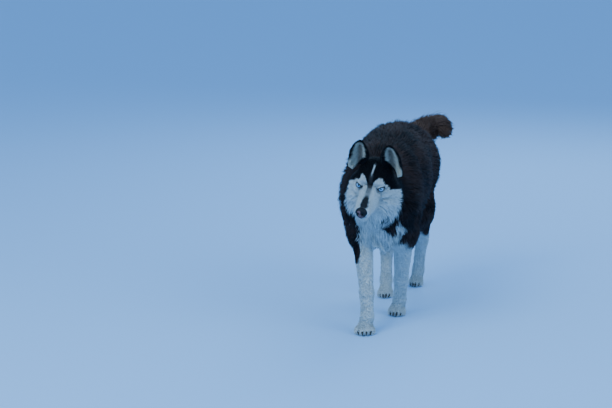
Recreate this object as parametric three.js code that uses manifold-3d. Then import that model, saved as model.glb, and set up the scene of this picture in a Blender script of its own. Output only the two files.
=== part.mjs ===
// Siberian husky in mid-walk, life size. Millimetres, +Z up. The dog faces -Y and its left side is +X.
// The floor is z = 0 and the origin lies on it, below the middle of the model's box.
import * as THREE from "three";
import { mergeVertices } from "three/addons/utils/BufferGeometryUtils.js";
import Module from "manifold-3d";

const wasm = await Module();
wasm.setup();

// Driving dimensions
const GAP = 0.3; // between two nodes that touch
const CORE_SHARE = 0.5; // share of a long coat's depth that the closed core takes; locks stand on it
const BODY_COAT = 30;
const NECK_COAT = 38;
const CHEEK_COAT = 24;
const TAIL_COAT = 35;
const THIGH_COAT = 18;
const LEG_COAT = 7;
const FACE_COAT = 5;

// Cells of the surfaces along x, y and z, finest where the forms are smallest and long along each limb
const MUZZLE_CELL = [8, 13, 8];
const HEAD_CELL = [12, 12.5, 12];
const NECK_CELL = [28, 28, 28];
const TORSO_CELL = [36, 52, 36];
const UPPER_LEG_CELL = [28, 28, 34];
const LOWER_LEG_CELL = [17, 17, 32];
const PAW_CELL = [10, 12, 12];
const TAIL_CELL = [22, 24, 22];

// The head: where the point between the eyes is, and how the head is turned there
const EYES_AT = [-3, -435, 495];
const HEAD_PITCH = 22; // degrees, nose down
const HEAD_YAW = -9; // negative is towards the dog's right
const HEAD_ROLL = 8.3; // left side down
const EYE_RADIUS = 11;
const LID_THICKNESS = 2.2;
const EYE_SPREAD = 36;
const EYE_SET_BACK = 1;
const SOCKET = { radii: [15, 8, 8], before: 14, blend: 8 }; // the hollow in front of each eye

const vec = (p) => new THREE.Vector3(...p);
const mix = (a, b, t) => a + (b - a) * t;
const lerp = (a, b, t) => a.map((v, n) => mix(v, b[n], t));
const minus = (a, b) => a.map((v, n) => v - b[n]);
const rad = THREE.MathUtils.degToRad;

const headTurn = new THREE.Matrix4()
  .makeRotationZ(rad(HEAD_YAW))
  .multiply(new THREE.Matrix4().makeRotationX(rad(HEAD_PITCH)))
  .multiply(new THREE.Matrix4().makeRotationY(rad(HEAD_ROLL)));
const headPlace = new THREE.Matrix4().makeTranslation(...EYES_AT).multiply(headTurn);
const headInverse = headPlace.clone().invert();
const onHead = (p) => vec(p).applyMatrix4(headPlace);
const headTurned = (p) => vec(p).applyMatrix4(headTurn).toArray();

// Masses: the body is a smooth union of tapered limbs and balls, each with the depth of coat that it carries
const masses = [];
function limb(from, to, radiusFrom, radiusTo, coat, blend, options = {}) {
  masses.push({ from, to, radiusFrom, radiusTo, coat, blend, ...options });
}
function ball(centre, radii, coat, blend, options = {}) {
  masses.push({ centre, radii, coat, blend, ...options });
}

function distanceTo(mass, p) {
  if (mass.radii) {
    const [x, y, z] = [p.x - mass.centre[0], p.y - mass.centre[1], p.z - mass.centre[2]];
    const [rx, ry, rz] = mass.radii;
    const near = Math.hypot(x / rx, y / ry, z / rz);
    const slope = Math.hypot(x / (rx * rx), y / (ry * ry), z / (rz * rz));
    return slope < 1e-9 ? -Math.min(rx, ry, rz) : (near * (near - 1)) / slope;
  }
  const wide = mass.wide ?? 1;
  const [ax, ay, az] = mass.from;
  const [bx, by, bz] = mass.to;
  const [dx, dy, dz] = [(bx - ax) / wide, by - ay, bz - az];
  const [px, py, pz] = [(p.x - ax) / wide, p.y - ay, p.z - az];
  const t = Math.min(1, Math.max(0, (px * dx + py * dy + pz * dz) / (dx * dx + dy * dy + dz * dz)));
  return Math.hypot(px - t * dx, py - t * dy, pz - t * dz) - mix(mass.radiusFrom, mass.radiusTo, t);
}

const eyeCentre = (side) => [EYE_SPREAD * side, EYE_SET_BACK, 0];
const sockets = [-1, 1].map((side) => {
  const [x, y, z] = eyeCentre(side);
  return { centre: [x + 2 * side, y - SOCKET.before, z], radii: SOCKET.radii };
});

function smoothMin(a, b, blend) {
  const h = Math.max(blend - Math.abs(a - b), 0) / blend;
  return Math.min(a, b) - (h * h * blend) / 4;
}

// Signed distance from the coat's closed surface, below zero inside
const local = new THREE.Vector3();
function coatField(p) {
  local.copy(p).applyMatrix4(headInverse);
  let d = 1e6;
  for (const mass of masses) {
    const depth = mass.coat * (mass.long ? CORE_SHARE : 1);
    d = smoothMin(d, distanceTo(mass, mass.head ? local : p) - depth, mass.blend);
  }
  for (const socket of sockets) d = -smoothMin(-d, distanceTo(socket, local), SOCKET.blend);
  return d;
}

// Trunk
const long = true;
ball([0, -95, 424], [102, 210, 142], BODY_COAT, 1, { long });
limb([0, -150, 508], [0, 80, 524], 46, 48, BODY_COAT, 50, { long });
limb([0, 20, 468], [0, 180, 474], 98, 100, BODY_COAT, 70, { long });
ball([0, 205, 474], [105, 104, 100], BODY_COAT, 50, { long });
ball([0, -225, 376], [70, 70, 90], BODY_COAT + 8, 50, { long });

// Neck
limb([0, -205, 454], [-2, -320, 466], 82, 62, NECK_COAT, 50, { long, wide: 1.04 });
limb([-2, -290, 438], [-3, -366, 444], 64, 52, NECK_COAT, 40, { long });

// Head, in its own frame: x to the dog's left, y back and z up from the point between the eyes
const head = true;
ball([0, 62, 8], [52, 48, 49], 9, 30, { head });
ball([0, 18, 20], [40, 21, 20], FACE_COAT, 24, { head });
limb([0, -8, -28], [0, -74, -42], 30, 19, FACE_COAT, 20, { head });
limb([0, -14, -10], [0, -76, -34], 13, 10, FACE_COAT, 12, { head });
limb([0, 10, -64], [0, -71, -70], 25, 13, FACE_COAT, 14, { head });
for (const side of [-1, 1]) {
  ball([27 * side, 4, 17], [14, 9, 7], FACE_COAT - 1, 10, { head });
  limb([43 * side, 12, -25], [54 * side, 48, -18], 10, 16, 7, 16, { head });
  limb([12 * side, -30, -43], [11 * side, -77, -46], 16, 12, FACE_COAT, 10, { head });
  ball([46 * side, 62, -38], [24, 30, 28], CHEEK_COAT, 26, { head, long });
}

// Legs: joints from the shoulder or hip down to the paw. The paw's own numbers are its place on the floor,
// its width and how far its toes turn out
const LEGS = {
  foreleg_right: {
    side: -1,
    shoulder: [-58, -240, 385],
    elbow: [-60, -228, 297],
    wrist: [-28, -330, 124],
    pastern: [-21, -362, 52],
    paw: { at: [-27, -372], width: 68, out: 7 },
  },
  foreleg_left: {
    side: 1,
    shoulder: [68, -236, 385],
    elbow: [74, -196, 300],
    wrist: [56, -118, 124],
    pastern: [49, -98, 52],
    paw: { at: [42, -98], width: 60, out: 3 },
  },
  hindleg_right: {
    side: -1,
    hip: [-52, 195, 440],
    stifle: [-82, 128, 312],
    hock: [-42, 226, 160],
    pastern: [-37, 182, 52],
    paw: { at: [-36, 160], width: 54, out: 4 },
  },
  hindleg_left: {
    side: 1,
    hip: [52, 200, 440],
    stifle: [84, 172, 304],
    hock: [68, 330, 172],
    pastern: [54, 364, 54],
    paw: { at: [50, 352], width: 50, out: 4 },
  },
};

// A point in a paw's own frame, x across and y back from its middle, given in the model's frame
function onPaw({ at, out }, side, [x, y, z]) {
  const turn = rad(-out * side);
  const [c, s] = [Math.cos(turn), Math.sin(turn)];
  return [at[0] + x * c - y * s, at[1] + x * s + y * c, z];
}

const TOE_SPREAD = [-1.5, -0.5, 0.5, 1.5];
function toes({ paw, side }) {
  const pitch = paw.width / 4.35;
  return TOE_SPREAD.map((place) => {
    const middle = Math.abs(place) < 1;
    return {
      at: onPaw(paw, side, [place * pitch, middle ? -24 : -12, 10]),
      radii: [pitch * 0.62, 20, 15],
      turn: rad(-paw.out * side - place * 6),
    };
  });
}

for (const leg of Object.values(LEGS)) {
  const { paw, side } = leg;
  if (leg.shoulder) {
    limb([54 * side, -150, 510], leg.shoulder, 34, 40, BODY_COAT - 6, 40, { long });
    limb(leg.shoulder, leg.elbow, 40, 35, THIGH_COAT, 36, { long });
    limb(leg.elbow, leg.wrist, 33, 19, LEG_COAT + 2, 26);
    limb(leg.wrist, leg.pastern, 20, 18, LEG_COAT, 14);
  } else {
    limb(leg.hip, leg.stifle, 74, 44, THIGH_COAT, 50, { long, wide: 0.8 });
    limb(leg.hip, leg.hock, 54, 16, THIGH_COAT - 4, 40, { long, wide: 0.75 });
    limb(leg.stifle, leg.hock, 40, 17, LEG_COAT + 3, 26);
    limb(leg.hock, leg.pastern, 18, 17, LEG_COAT, 14);
  }
  limb(leg.pastern, onPaw(paw, side, [0, -4, 22]), 17, 17, LEG_COAT, 14);
  limb(onPaw(paw, side, [0, 22, 13]), onPaw(paw, side, [0, -10, 16]), 17, 17, 3, 16, {
    wide: paw.width / 54,
  });
  for (const toe of toes(leg)) ball(toe.at, toe.radii, 0, 7);
}

// Tail: a line from the croup that rises back and curls to the dog's left
const TAIL_LINE = new THREE.CatmullRomCurve3(
  [[0, 258, 496], [18, 322, 520], [46, 372, 546], [80, 402, 566], [112, 408, 574], [132, 392, 562]].map(vec),
);
const TAIL_STEPS = 7;
const TAIL_BONE = [20, 7]; // radius at the root and at the tip
const tailCoat = (t) => TAIL_COAT * (0.5 + 0.5 * Math.sin(Math.PI * Math.min(0.62, 0.1 + t)));
for (let i = 0; i < TAIL_STEPS; i++) {
  const [s, t] = [i / TAIL_STEPS, (i + 1) / TAIL_STEPS];
  const ends = [s, t].map((at) => TAIL_LINE.getPoint(at).toArray());
  limb(...ends, mix(...TAIL_BONE, s), mix(...TAIL_BONE, t), (tailCoat(s) + tailCoat(t)) / 2, 18, { long });
}

// Solids

function solidFrom(positions, triangles) {
  return new wasm.Manifold(
    new wasm.Mesh({
      numProp: 3,
      vertProperties: new Float32Array(positions),
      triVerts: new Uint32Array(triangles),
    }),
  );
}

function solidOf(geometry) {
  const bare = new THREE.BufferGeometry().setAttribute("position", geometry.getAttribute("position"));
  if (geometry.index) bare.setIndex(geometry.index);
  const merged = mergeVertices(bare, 1e-4);
  return solidFrom(merged.getAttribute("position").array, merged.index.array);
}

function boxSolid(low, high) {
  const size = high.map((v, i) => v - low[i]);
  const box = new THREE.BoxGeometry(...size);
  box.translate(...low.map((v, i) => v + size[i] / 2));
  return solidOf(box);
}

// The part of space on the side of a plane that its normal points to
const FAR = 3000;
function halfSpace(point, normal, shift = 0) {
  const box = new THREE.BoxGeometry(FAR, FAR, FAR);
  box.translate(0, 0, FAR / 2 + shift);
  const turn = new THREE.Quaternion().setFromUnitVectors(vec([0, 0, 1]), vec(normal).normalize());
  box.applyQuaternion(turn);
  box.translate(...point);
  return solidOf(box);
}

function largest(solid) {
  return solid.decompose().reduce((a, b) => (b.volume() > a.volume() ? b : a));
}

// A closed surface where the field is zero inside a box: one point in each cell that the surface crosses
function surfaceOf(field, low, high, cell) {
  const [nx, ny, nz] = low.map((v, n) => Math.ceil((high[n] - v) / cell[n]) + 3);
  const place = (...steps) => low.map((v, n) => v + (steps[n] - 1) * cell[n]);
  const p = new THREE.Vector3();
  const bounded = (x, y, z) => {
    p.set(x, y, z);
    const out = Math.max(low[0] - x, x - high[0], low[1] - y, y - high[1], low[2] - z, z - high[2]);
    return Math.max(field(p), out);
  };
  const values = new Float32Array(nx * ny * nz);
  const index = (i, j, k) => (k * ny + j) * nx + i;
  for (let k = 0; k < nz; k++)
    for (let j = 0; j < ny; j++)
      for (let i = 0; i < nx; i++) values[index(i, j, k)] = bounded(...place(i, j, k));

  const positions = [];
  const vertexOf = new Map();
  for (let k = 0; k < nz - 1; k++)
    for (let j = 0; j < ny - 1; j++)
      for (let i = 0; i < nx - 1; i++) {
        const sum = [0, 0, 0];
        let crossings = 0;
        for (const axis of [0, 1, 2])
          for (const u of [0, 1])
            for (const v of [0, 1]) {
              const a = [i, j, k];
              a[(axis + 1) % 3] += u;
              a[(axis + 2) % 3] += v;
              const b = [...a];
              b[axis] += 1;
              const [fa, fb] = [values[index(...a)], values[index(...b)]];
              if (fa < 0 === fb < 0) continue;
              const t = fa / (fa - fb);
              const [pa, pb] = [place(...a), place(...b)];
              for (const n of [0, 1, 2]) sum[n] += mix(pa[n], pb[n], t);
              crossings++;
            }
        if (!crossings) continue;
        const point = drawnIn(bounded, sum.map((s) => s / crossings), cell);
        vertexOf.set(index(i, j, k), positions.length / 3);
        positions.push(...point);
      }

  const triangles = [];
  const at = (n) => positions.slice(3 * n, 3 * n + 3);
  for (let k = 1; k < nz - 1; k++)
    for (let j = 1; j < ny - 1; j++)
      for (let i = 1; i < nx - 1; i++)
        for (const axis of [0, 1, 2]) {
          const b = [i, j, k];
          b[axis] += 1;
          const inside = values[index(i, j, k)] < 0;
          if (inside === values[index(...b)] < 0) continue;
          const ring = [[0, 0], [1, 0], [1, 1], [0, 1]].map(([u, v]) => {
            const c = [i, j, k];
            c[(axis + 1) % 3] -= u;
            c[(axis + 2) % 3] -= v;
            return vertexOf.get(index(...c));
          });
          if (!inside) ring.reverse();
          const [q, r, s, t] = ring;
          const across = vec(at(q)).distanceTo(vec(at(s))) < vec(at(r)).distanceTo(vec(at(t)));
          triangles.push(...(across ? [q, r, s, q, s, t] : [r, s, t, r, t, q]));
        }
  return solidFrom(positions, triangles);
}

// Moves a cell's point onto the surface, by at most a part of the cell
function drawnIn(field, start, cell) {
  const step = 0.5;
  const most = cell.map((size) => 0.6 * size);
  let point = start;
  for (let round = 0; round < 3; round++) {
    const f = field(...point);
    const slope = [0, 1, 2].map((n) => {
      const ahead = [...point];
      ahead[n] += step;
      return (field(...ahead) - f) / step;
    });
    const steep = slope.reduce((sum, s) => sum + s * s, 0);
    if (steep < 1e-6) break;
    point = point.map((v, n) => v - (f * slope[n]) / steep);
  }
  return start.map((v, n) => v + Math.max(-most[n], Math.min(most[n], point[n] - v)));
}

// A closed skin over rings of equal count, each a list of points. Both ends close on their middles, or on
// their own points where a ring is a folded leaf whose second half runs back along the first
function loft(rings, leaf = false) {
  const count = rings[0].length;
  const positions = rings.flat(2);
  const triangles = [];
  for (let r = 0; r + 1 < rings.length; r++)
    for (let i = 0; i < count; i++) {
      const [a, b] = [r * count + i, r * count + ((i + 1) % count)];
      triangles.push(a, b, b + count, a, b + count, a + count);
    }
  const middle = (ring) => [0, 1, 2].map((n) => ring.reduce((sum, p) => sum + p[n], 0) / count);
  for (const [r, flip] of [[0, true], [rings.length - 1, false]]) {
    if (leaf) {
      for (let i = 0; i + 1 < count / 2; i++) {
        const [a, b, c, d] = [i, i + 1, count - 2 - i, count - 1 - i].map((n) => r * count + n);
        triangles.push(...(flip ? [d, c, b, d, b, a] : [a, b, c, a, c, d]));
      }
      continue;
    }
    const hub = positions.length / 3;
    positions.push(...middle(rings[r]));
    for (let i = 0; i < count; i++) {
      const [a, b] = [r * count + i, r * count + ((i + 1) % count)];
      triangles.push(...(flip ? [hub, b, a] : [hub, a, b]));
    }
  }
  const made = solidFrom(positions, triangles);
  return made.volume() < 0 ? loft([...rings].reverse(), leaf) : made;
}

// A round strand through points, with a radius at each
function strand(points, radii, sides = 5) {
  const curve = points.map(vec);
  const rings = curve.map((p, i) => {
    const along = curve[Math.min(i + 1, curve.length - 1)].clone().sub(curve[Math.max(i - 1, 0)]).normalize();
    const across = new THREE.Vector3(0.3, 0.2, 1).cross(along).normalize();
    const up = along.clone().cross(across);
    return Array.from({ length: sides }, (_, n) => {
      const angle = (2 * Math.PI * n) / sides;
      return p
        .clone()
        .addScaledVector(across, radii[i] * Math.cos(angle))
        .addScaledVector(up, radii[i] * Math.sin(angle))
        .toArray();
    });
  });
  return loft(rings);
}

// Ears: a cupped leaf, set into the head. grow makes the same leaf a little larger, to cut its seat
const EAR = {
  base: [56, 57, 48],
  tip: [49, 46, 140],
  halfWidth: 40,
  cup: 21,
  thickness: 5,
  edge: 1.6,
  sunk: 0.22,
};
const EAR_ROWS = 8;
const EAR_COLUMNS = 5;
function ear(side, grow = 0) {
  const slack = 1.5 * grow;
  const rings = [];
  for (let row = 0; row <= EAR_ROWS; row++) {
    const v = mix(-EAR.sunk, 0.985, row / EAR_ROWS) - (row ? 0 : 0.03 * grow);
    const up = Math.max(v, 0);
    const middle = lerp(EAR.base, EAR.tip, v);
    const across = vec([0.82, 0.13, -0.55]).lerp(vec([0.98, 0.1, -0.12]), Math.min(1, up * 1.6)).normalize();
    const half = EAR.halfWidth * (1 - up) ** 0.62 * (1 + 0.42 * up) * (1 + Math.min(v, 0) * 0.9);
    const cup = EAR.cup * (1 - up) ** 0.7;
    const thick = EAR.thickness * (0.45 + 0.55 * (1 - up));
    const columns = Array.from({ length: EAR_COLUMNS + 1 }, (_, i) => mix(-1, 1, i / EAR_COLUMNS));
    const atEdge = (u) => (Math.abs(u) === 1 ? slack : 0);
    const sideways = (u) => u * (half + atEdge(u));
    const front = columns.map((u) => [sideways(u), cup * (1 - u * u) - slack - atEdge(u)]);
    const back = columns.map((u) => [
      sideways(u),
      cup * (1 - u * u) + thick * Math.sqrt(1 - u * u) + EAR.edge + slack,
    ]);
    rings.push(
      [...front, ...back.reverse()].map(([x, y]) => {
        const p = vec(middle).addScaledVector(across, x).add(vec([0, y - EAR.cup * 0.5, 0]));
        return onHead([p.x * side, p.y, p.z]).toArray();
      }),
    );
  }
  return loft(rings, true);
}

// Nose pad, in the head's frame
const NOSE = { at: [0, -94, -37], radii: [19, 16.5, 16] };
function nose(grow = 0) {
  const shape = new THREE.SphereGeometry(1, 16, 10);
  const positions = shape.getAttribute("position");
  for (let i = 0; i < positions.count; i++) {
    const [x, y, z] = [positions.getX(i), positions.getY(i), positions.getZ(i)];
    const pinch = 1 - 0.28 * Math.max(0, -z);
    const flat = y < 0 ? 0.85 : 1;
    positions.setXYZ(
      i,
      x * pinch * (NOSE.radii[0] + grow) + NOSE.at[0],
      y * flat * (NOSE.radii[1] + grow) + NOSE.at[1],
      z * (NOSE.radii[2] + grow) + NOSE.at[2],
    );
  }
  shape.applyMatrix4(headPlace);
  return solidOf(shape);
}

function nostril(side) {
  const points = [[5, -115, -36], [7.5, -107, -37], [11, -104, -39], [15, -102, -42], [18, -100, -46]];
  return strand(points.map(([x, y, z]) => onHead([x * side, y, z]).toArray()), [2.4, 3.4, 3, 2.2, 1.4]);
}

// Eyes with lids: the lids are a thin cap on the ball, open by an almond
function eyeBall(side, radius) {
  const shape = new THREE.SphereGeometry(radius, 14, 8);
  shape.rotateX(Math.PI / 2);
  shape.translate(...eyeCentre(side));
  shape.applyMatrix4(headPlace);
  return solidOf(shape);
}

const EYE_OPENING = { halfWidth: 10.4, up: 7, down: 6, slant: 27, turn: 22, points: 12 };
function eyeOpening(side) {
  const turn = new THREE.Matrix4()
    .makeRotationZ(rad(EYE_OPENING.turn * side))
    .multiply(new THREE.Matrix4().makeRotationY(rad(-EYE_OPENING.slant * side)));
  const ringAt = (depth, scale) =>
    Array.from({ length: EYE_OPENING.points }, (_, n) => {
      const angle = (2 * Math.PI * n) / EYE_OPENING.points;
      const [c, s] = [Math.cos(angle), Math.sin(angle)];
      const x = c * EYE_OPENING.halfWidth * scale;
      const z = Math.sign(s) * Math.abs(s) ** 1.25 * (s > 0 ? EYE_OPENING.up : EYE_OPENING.down) * scale;
      const p = vec([x, depth, z]).applyMatrix4(turn).add(vec(eyeCentre(side)));
      return onHead(p.toArray()).toArray();
    });
  return loft([ringAt(-2, 0.8), ringAt(-26, 1.35)]);
}

// The line of the mouth, as points just inside the face, from one corner round to the other
const MOUTH_HALF = [
  [0, -97, -59],
  [9, -93, -59.5],
  [17, -80, -58],
  [24, -60, -55],
  [29, -42, -52],
  [33, -29, -48],
];
const MOUTH_GROOVE = 2.2;
function towards(p, q) {
  // The point where the coat's surface lies on the way from p, inside, to q, outside
  let [low, high] = [0, 1];
  const [a, b] = [vec(p), vec(q)];
  for (let i = 0; i < 24; i++) {
    const t = (low + high) / 2;
    if (coatField(a.clone().lerp(b, t)) < 0) low = t;
    else high = t;
  }
  return a.lerp(b, low);
}

function mouthGroove() {
  const onFace = (side) => ([x, y, z]) => {
    const inner = onHead([side * x * 0.3, y * 0.6, z]);
    const outer = onHead([side * x * 2, y * 1.5 - (x ? 0 : 30), z]);
    return towards(inner.toArray(), outer.toArray()).toArray();
  };
  const path = [...MOUTH_HALF.slice(1).map(onFace(-1)).reverse(), ...MOUTH_HALF.map(onFace(1))];
  return strand(path, path.map((_, i) => (i === 0 || i === path.length - 1 ? 1.2 : MOUTH_GROOVE)));
}

// Claws, one to a toe
const CLAW_SIDES = 4;
function claw({ at, turn }, grow = 0) {
  const forward = [Math.sin(turn), -Math.cos(turn)];
  const path = [[10 - grow, 16, 4.2], [19, 12.5, 3.6], [25, 8.5, 2.6], [28.5, 5.2, 1.4]];
  return strand(
    path.map(([along, z]) => [at[0] + forward[0] * along, at[1] + forward[1] * along, z]),
    path.map(([, , radius]) => radius + grow),
    CLAW_SIDES,
  );
}

// Locks of the long coat: flat, tapered and bent along the lie of the hair, each rooted well inside the core
const LOCK_SUNK = 14; // depth of the root below the core's surface
const LOCK_STATIONS = [
  // share of the length, share of the width, share of the lift
  [0, 0.8, 0],
  [0.52, 1, 0.6],
];
const LOCK_RIDGE = 0.3; // height of the ridge as a share of the half width
const LOCK_KEEL = 9; // twice as deep as the two edges lie below the lock's middle line
const locks = [];

let seed = 7;
function chance(low, high) {
  seed = (seed * 16807) % 2147483647;
  return mix(low, high, seed / 2147483647);
}

// Moves a point along the field's slope until it lies a given height above the core
function atHeight(point, height) {
  const step = 1;
  const p = point.clone();
  const slope = new THREE.Vector3();
  for (let round = 0; round < 4; round++) {
    const f = coatField(p);
    slope.set(
      coatField(p.clone().setX(p.x + step)) - f,
      coatField(p.clone().setY(p.y + step)) - f,
      coatField(p.clone().setZ(p.z + step)) - f,
    );
    slope.divideScalar(step);
    p.addScaledVector(slope, (height - f) / Math.max(slope.lengthSq(), 0.05));
  }
  return { p, out: slope.normalize() };
}

function lock(root, lie, { length, half, lift }) {
  const flow = vec(lie).normalize();
  const start = atHeight(root, 0);
  flow.addScaledVector(start.out, -flow.dot(start.out)).normalize();
  const rings = LOCK_STATIONS.map(([along, wide, high]) => {
    const height = along ? lift * high : -LOCK_SUNK;
    const { p, out } = atHeight(start.p.clone().addScaledVector(flow, along * length), height);
    const across = out.clone().cross(flow).normalize();
    const w = half * wide;
    return [
      p.clone().addScaledVector(across, w).addScaledVector(out, -LOCK_KEEL / 2),
      p.clone().addScaledVector(out, w * LOCK_RIDGE),
      p.clone().addScaledVector(across, -w).addScaledVector(out, -LOCK_KEEL / 2),
    ];
  });
  const tip = atHeight(start.p.clone().addScaledVector(flow, length), lift).p;
  const points = [...rings.flat(), tip, rings[0][0].clone().lerp(rings[0][2], 0.5)];
  const sides = rings[0].length;
  const [tipAt, hub] = [points.length - 2, points.length - 1];
  const triangles = [];
  for (let i = 0; i < sides; i++) {
    const next = (i + 1) % sides;
    for (let r = 0; r + 1 < rings.length; r++) {
      const [a, b] = [r * sides + i, r * sides + next];
      triangles.push(a, b, b + sides, a, b + sides, a + sides);
    }
    const end = (rings.length - 1) * sides;
    triangles.push(end + i, end + next, tipAt, hub, next, i);
  }
  const positions = points.flatMap((p) => p.toArray());
  const made = solidFrom(positions, triangles);
  if (made.volume() < 0) {
    for (let i = 0; i < triangles.length; i += 3) {
      const [first, second] = triangles.slice(i, i + 2);
      triangles[i] = second;
      triangles[i + 1] = first;
    }
    locks.push(solidFrom(positions, triangles));
  } else locks.push(made);
}

// A ring of locks round a middle point: from one angle to another, measured from +X towards +Z about +Y
function lockRing(middle, reach, angles, count, lie, sizes, stagger = 0) {
  for (let i = 0; i < count; i++) {
    const angle = rad(mix(...angles, (i + 0.5 + stagger) / count + chance(-0.12, 0.12) / count));
    const away = [Math.cos(angle), 0, Math.sin(angle)];
    const from = [middle[0], middle[1] + chance(-9, 9), middle[2]];
    const root = towards(from, from.map((v, n) => v + away[n] * reach));
    const size = chance(0.9, 1.12);
    lock(root, lie(away, angle), {
      length: sizes.length * size,
      half: sizes.half * chance(0.92, 1.1),
      lift: sizes.lift * size,
    });
  }
}

function coatWith(solid) {
  const box = solid.boundingBox();
  const near = locks.filter((one) => {
    const { min, max } = one.boundingBox();
    return [0, 1, 2].every((n) => min[n] < box.max[n] && max[n] > box.min[n]);
  });
  return near.reduce((sum, one) => sum.add(one), solid);
}

// Back, sides and belly: rows from the shoulders to the rump, each row laid over the next one's roots
const BACK_ROWS = [-135, -30, 75, 180];
BACK_ROWS.forEach((y, row) => {
  const lie = ([x, , z]) => [x * 0.15, 1, -0.42 * (1 - Math.max(z, 0))];
  lockRing([0, y, 470], 320, [-14, 194], 6, lie, { length: 132, half: 46, lift: 15 }, row % 2 ? 0.25 : -0.25);
});

// Rump, round the root of the tail
for (const side of [-1, 1]) {
  for (const [x, y, z] of [[76, 250, 490], [60, 275, 430]]) {
    const root = towards([0, 180, 460], [x * side * 2, (y - 180) * 2.2 + 180, (z - 460) * 2 + 460]);
    lock(root, [0.3 * side, 0.5, -0.8], { length: chance(80, 92), half: 34, lift: 12 });
  }
}

// Neck and ruff: rings down the neck, swept back and away from the face
const RUFF_ROWS = [
  { y: -345, z: 452, count: 8 },
  { y: -285, z: 446, count: 8 },
  { y: -222, z: 432, count: 6 },
];
RUFF_ROWS.forEach(({ y, z, count }, row) => {
  const lie = ([x, , up]) => [x * 0.3, 0.75, -0.35 - 0.45 * Math.max(0, -up)];
  const angles = row === RUFF_ROWS.length - 1 ? [-50, 230] : [-90, 270];
  lockRing([0, y, z], 260, angles, count, lie, { length: 98, half: 44, lift: 17 }, row % 2 ? 0.25 : -0.25);
});

// Cheeks: short locks that fan out behind the corners of the mouth
for (const side of [-1, 1])
  for (const [z, y] of [[-4, 62], [-32, 54], [-58, 38]]) {
    const root = towards(onHead([20 * side, y, z]).toArray(), onHead([160 * side, y - 6, z * 1.6]).toArray());
    lock(root, headTurned([0.35 * side, 0.9, -0.5 - z * -0.004]), { length: 54, half: 22, lift: 11 });
  }

// Chest: locks that hang between the forelegs
const CHEST_LOCKS = [[-34, 372], [34, 372], [-62, 330], [0, 334], [62, 330], [-26, 292], [26, 292]];
for (const [x, z] of CHEST_LOCKS) {
  const root = towards([x, -200, z], [x, -480, z]);
  lock(root, [x * 0.003, 0.25, -1], { length: chance(78, 92), half: 31, lift: 13 });
}

// Breeches: the back of each thigh
for (const leg of [LEGS.hindleg_right, LEGS.hindleg_left]) {
  const { side, hip, hock } = leg;
  for (const [along, turn] of [[0.12, 70], [0.3, 25], [0.45, 75]]) {
    const from = lerp(hip, hock, along);
    const away = [Math.cos(rad(turn)) * side, Math.sin(rad(turn)), 0];
    const root = towards(from, from.map((v, n) => v + away[n] * 220));
    lock(root, [0, 0.35, -1], { length: chance(74, 88), half: 30 - along * 16, lift: 9 });
  }
}

// Shoulders and the backs of the forelegs
for (const leg of [LEGS.foreleg_right, LEGS.foreleg_left]) {
  const { side, shoulder } = leg;
  for (const [y, z] of [[-22, 20], [40, -6]]) {
    const from = [shoulder[0] * 0.4, shoulder[1] + y, shoulder[2] + z];
    const root = towards(from, [from[0] + 260 * side, from[1], from[2]]);
    lock(root, [0.05 * side, 0.45, -1], { length: chance(80, 92), half: 32, lift: 10 });
  }
}

// Brush of the tail
const TAIL_RINGS = [0.14, 0.38, 0.62, 0.86];
const LOCKS_ROUND_TAIL = 4;
TAIL_RINGS.forEach((t, row) => {
  const middle = TAIL_LINE.getPoint(t);
  const along = TAIL_LINE.getTangent(t);
  const across = new THREE.Vector3(0, 0, 1).cross(along).normalize();
  const up = along.clone().cross(across);
  for (let i = 0; i < LOCKS_ROUND_TAIL; i++) {
    const angle = (2 * Math.PI * (i + (row % 2) / 2 + chance(-0.1, 0.1))) / LOCKS_ROUND_TAIL;
    const away = across.clone().multiplyScalar(Math.cos(angle)).addScaledVector(up, Math.sin(angle));
    const root = towards(middle.toArray(), middle.clone().addScaledVector(away, 160).toArray());
    const lie = along.clone().addScaledVector(away, 0.35);
    lock(root, lie.toArray(), { length: chance(78, 94), half: 28, lift: 15 * chance(0.9, 1.2) });
  }
});

// Where the nodes part
const muzzleBase = { point: onHead([0, -22, 0]).toArray(), normal: headTurned([0, -1, 0]) };
const skullBase = { point: onHead([0, 86, -10]).toArray(), normal: [0, -1, 0.12] };
const neckBase = { point: [0, -262, 480], normal: [0, -0.81, 0.58] };
const tailRoot = { point: [4, 300, 520], normal: [0.05, 0.84, 0.54] };
const tailMiddle = {
  point: TAIL_LINE.getPoint(0.52).toArray(),
  normal: TAIL_LINE.getTangent(0.52).toArray(),
};
const PAW_TOP = 40;
const FORELEGS_PART = -218; // between the forelegs, below the belly
const BELLY = { front: 226, back: 300 }; // below it all is leg

const ahead = ({ point, normal }) => halfSpace(point, normal, GAP / 2);
const behind = ({ point, normal }) => halfSpace(point, normal.map((n) => -n), GAP / 2);

// The space that a leg takes from the trunk: a wedge outside the belly with a sloping roof, and all below
const LEG_WEDGE = {
  front: { foot: [8, 226], steep: 68, roof: [60, 345], slope: 30, reach: [-420, -105] },
  back: { foot: [4, 300], steep: 66, roof: [60, 402], slope: 30, reach: [56, 460] },
};
function legSpace(leg, grow = 0) {
  const { side } = leg;
  const wedge = leg.shoulder ? LEG_WEDGE.front : LEG_WEDGE.back;
  const under = ([x, z], angle) =>
    halfSpace([x * side, 0, z], [side * Math.sin(rad(angle)), 0, -Math.cos(rad(angle))], -grow);
  const [front, back] = wedge.reach;
  const stretch = boxSolid([-600, front - grow, 0], [600, back + grow, 900]);
  const upper = under(wedge.foot, wedge.steep).intersect(under(wedge.roof, wedge.slope)).intersect(stretch);
  const part = FORELEGS_PART + GAP / 2 - grow;
  const partFront = FORELEGS_PART - GAP / 2 + grow;
  const low = leg.shoulder
    ? boxSolid([-600, side < 0 ? -600 : part, -50], [600, side < 0 ? partFront : 20, BELLY.front + grow])
    : boxSolid([side < 0 ? -600 : 1 - grow, 20, -50], [side < 0 ? -1 + grow : 600, 600, BELLY.back + grow]);
  return upper.add(low);
}

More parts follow.
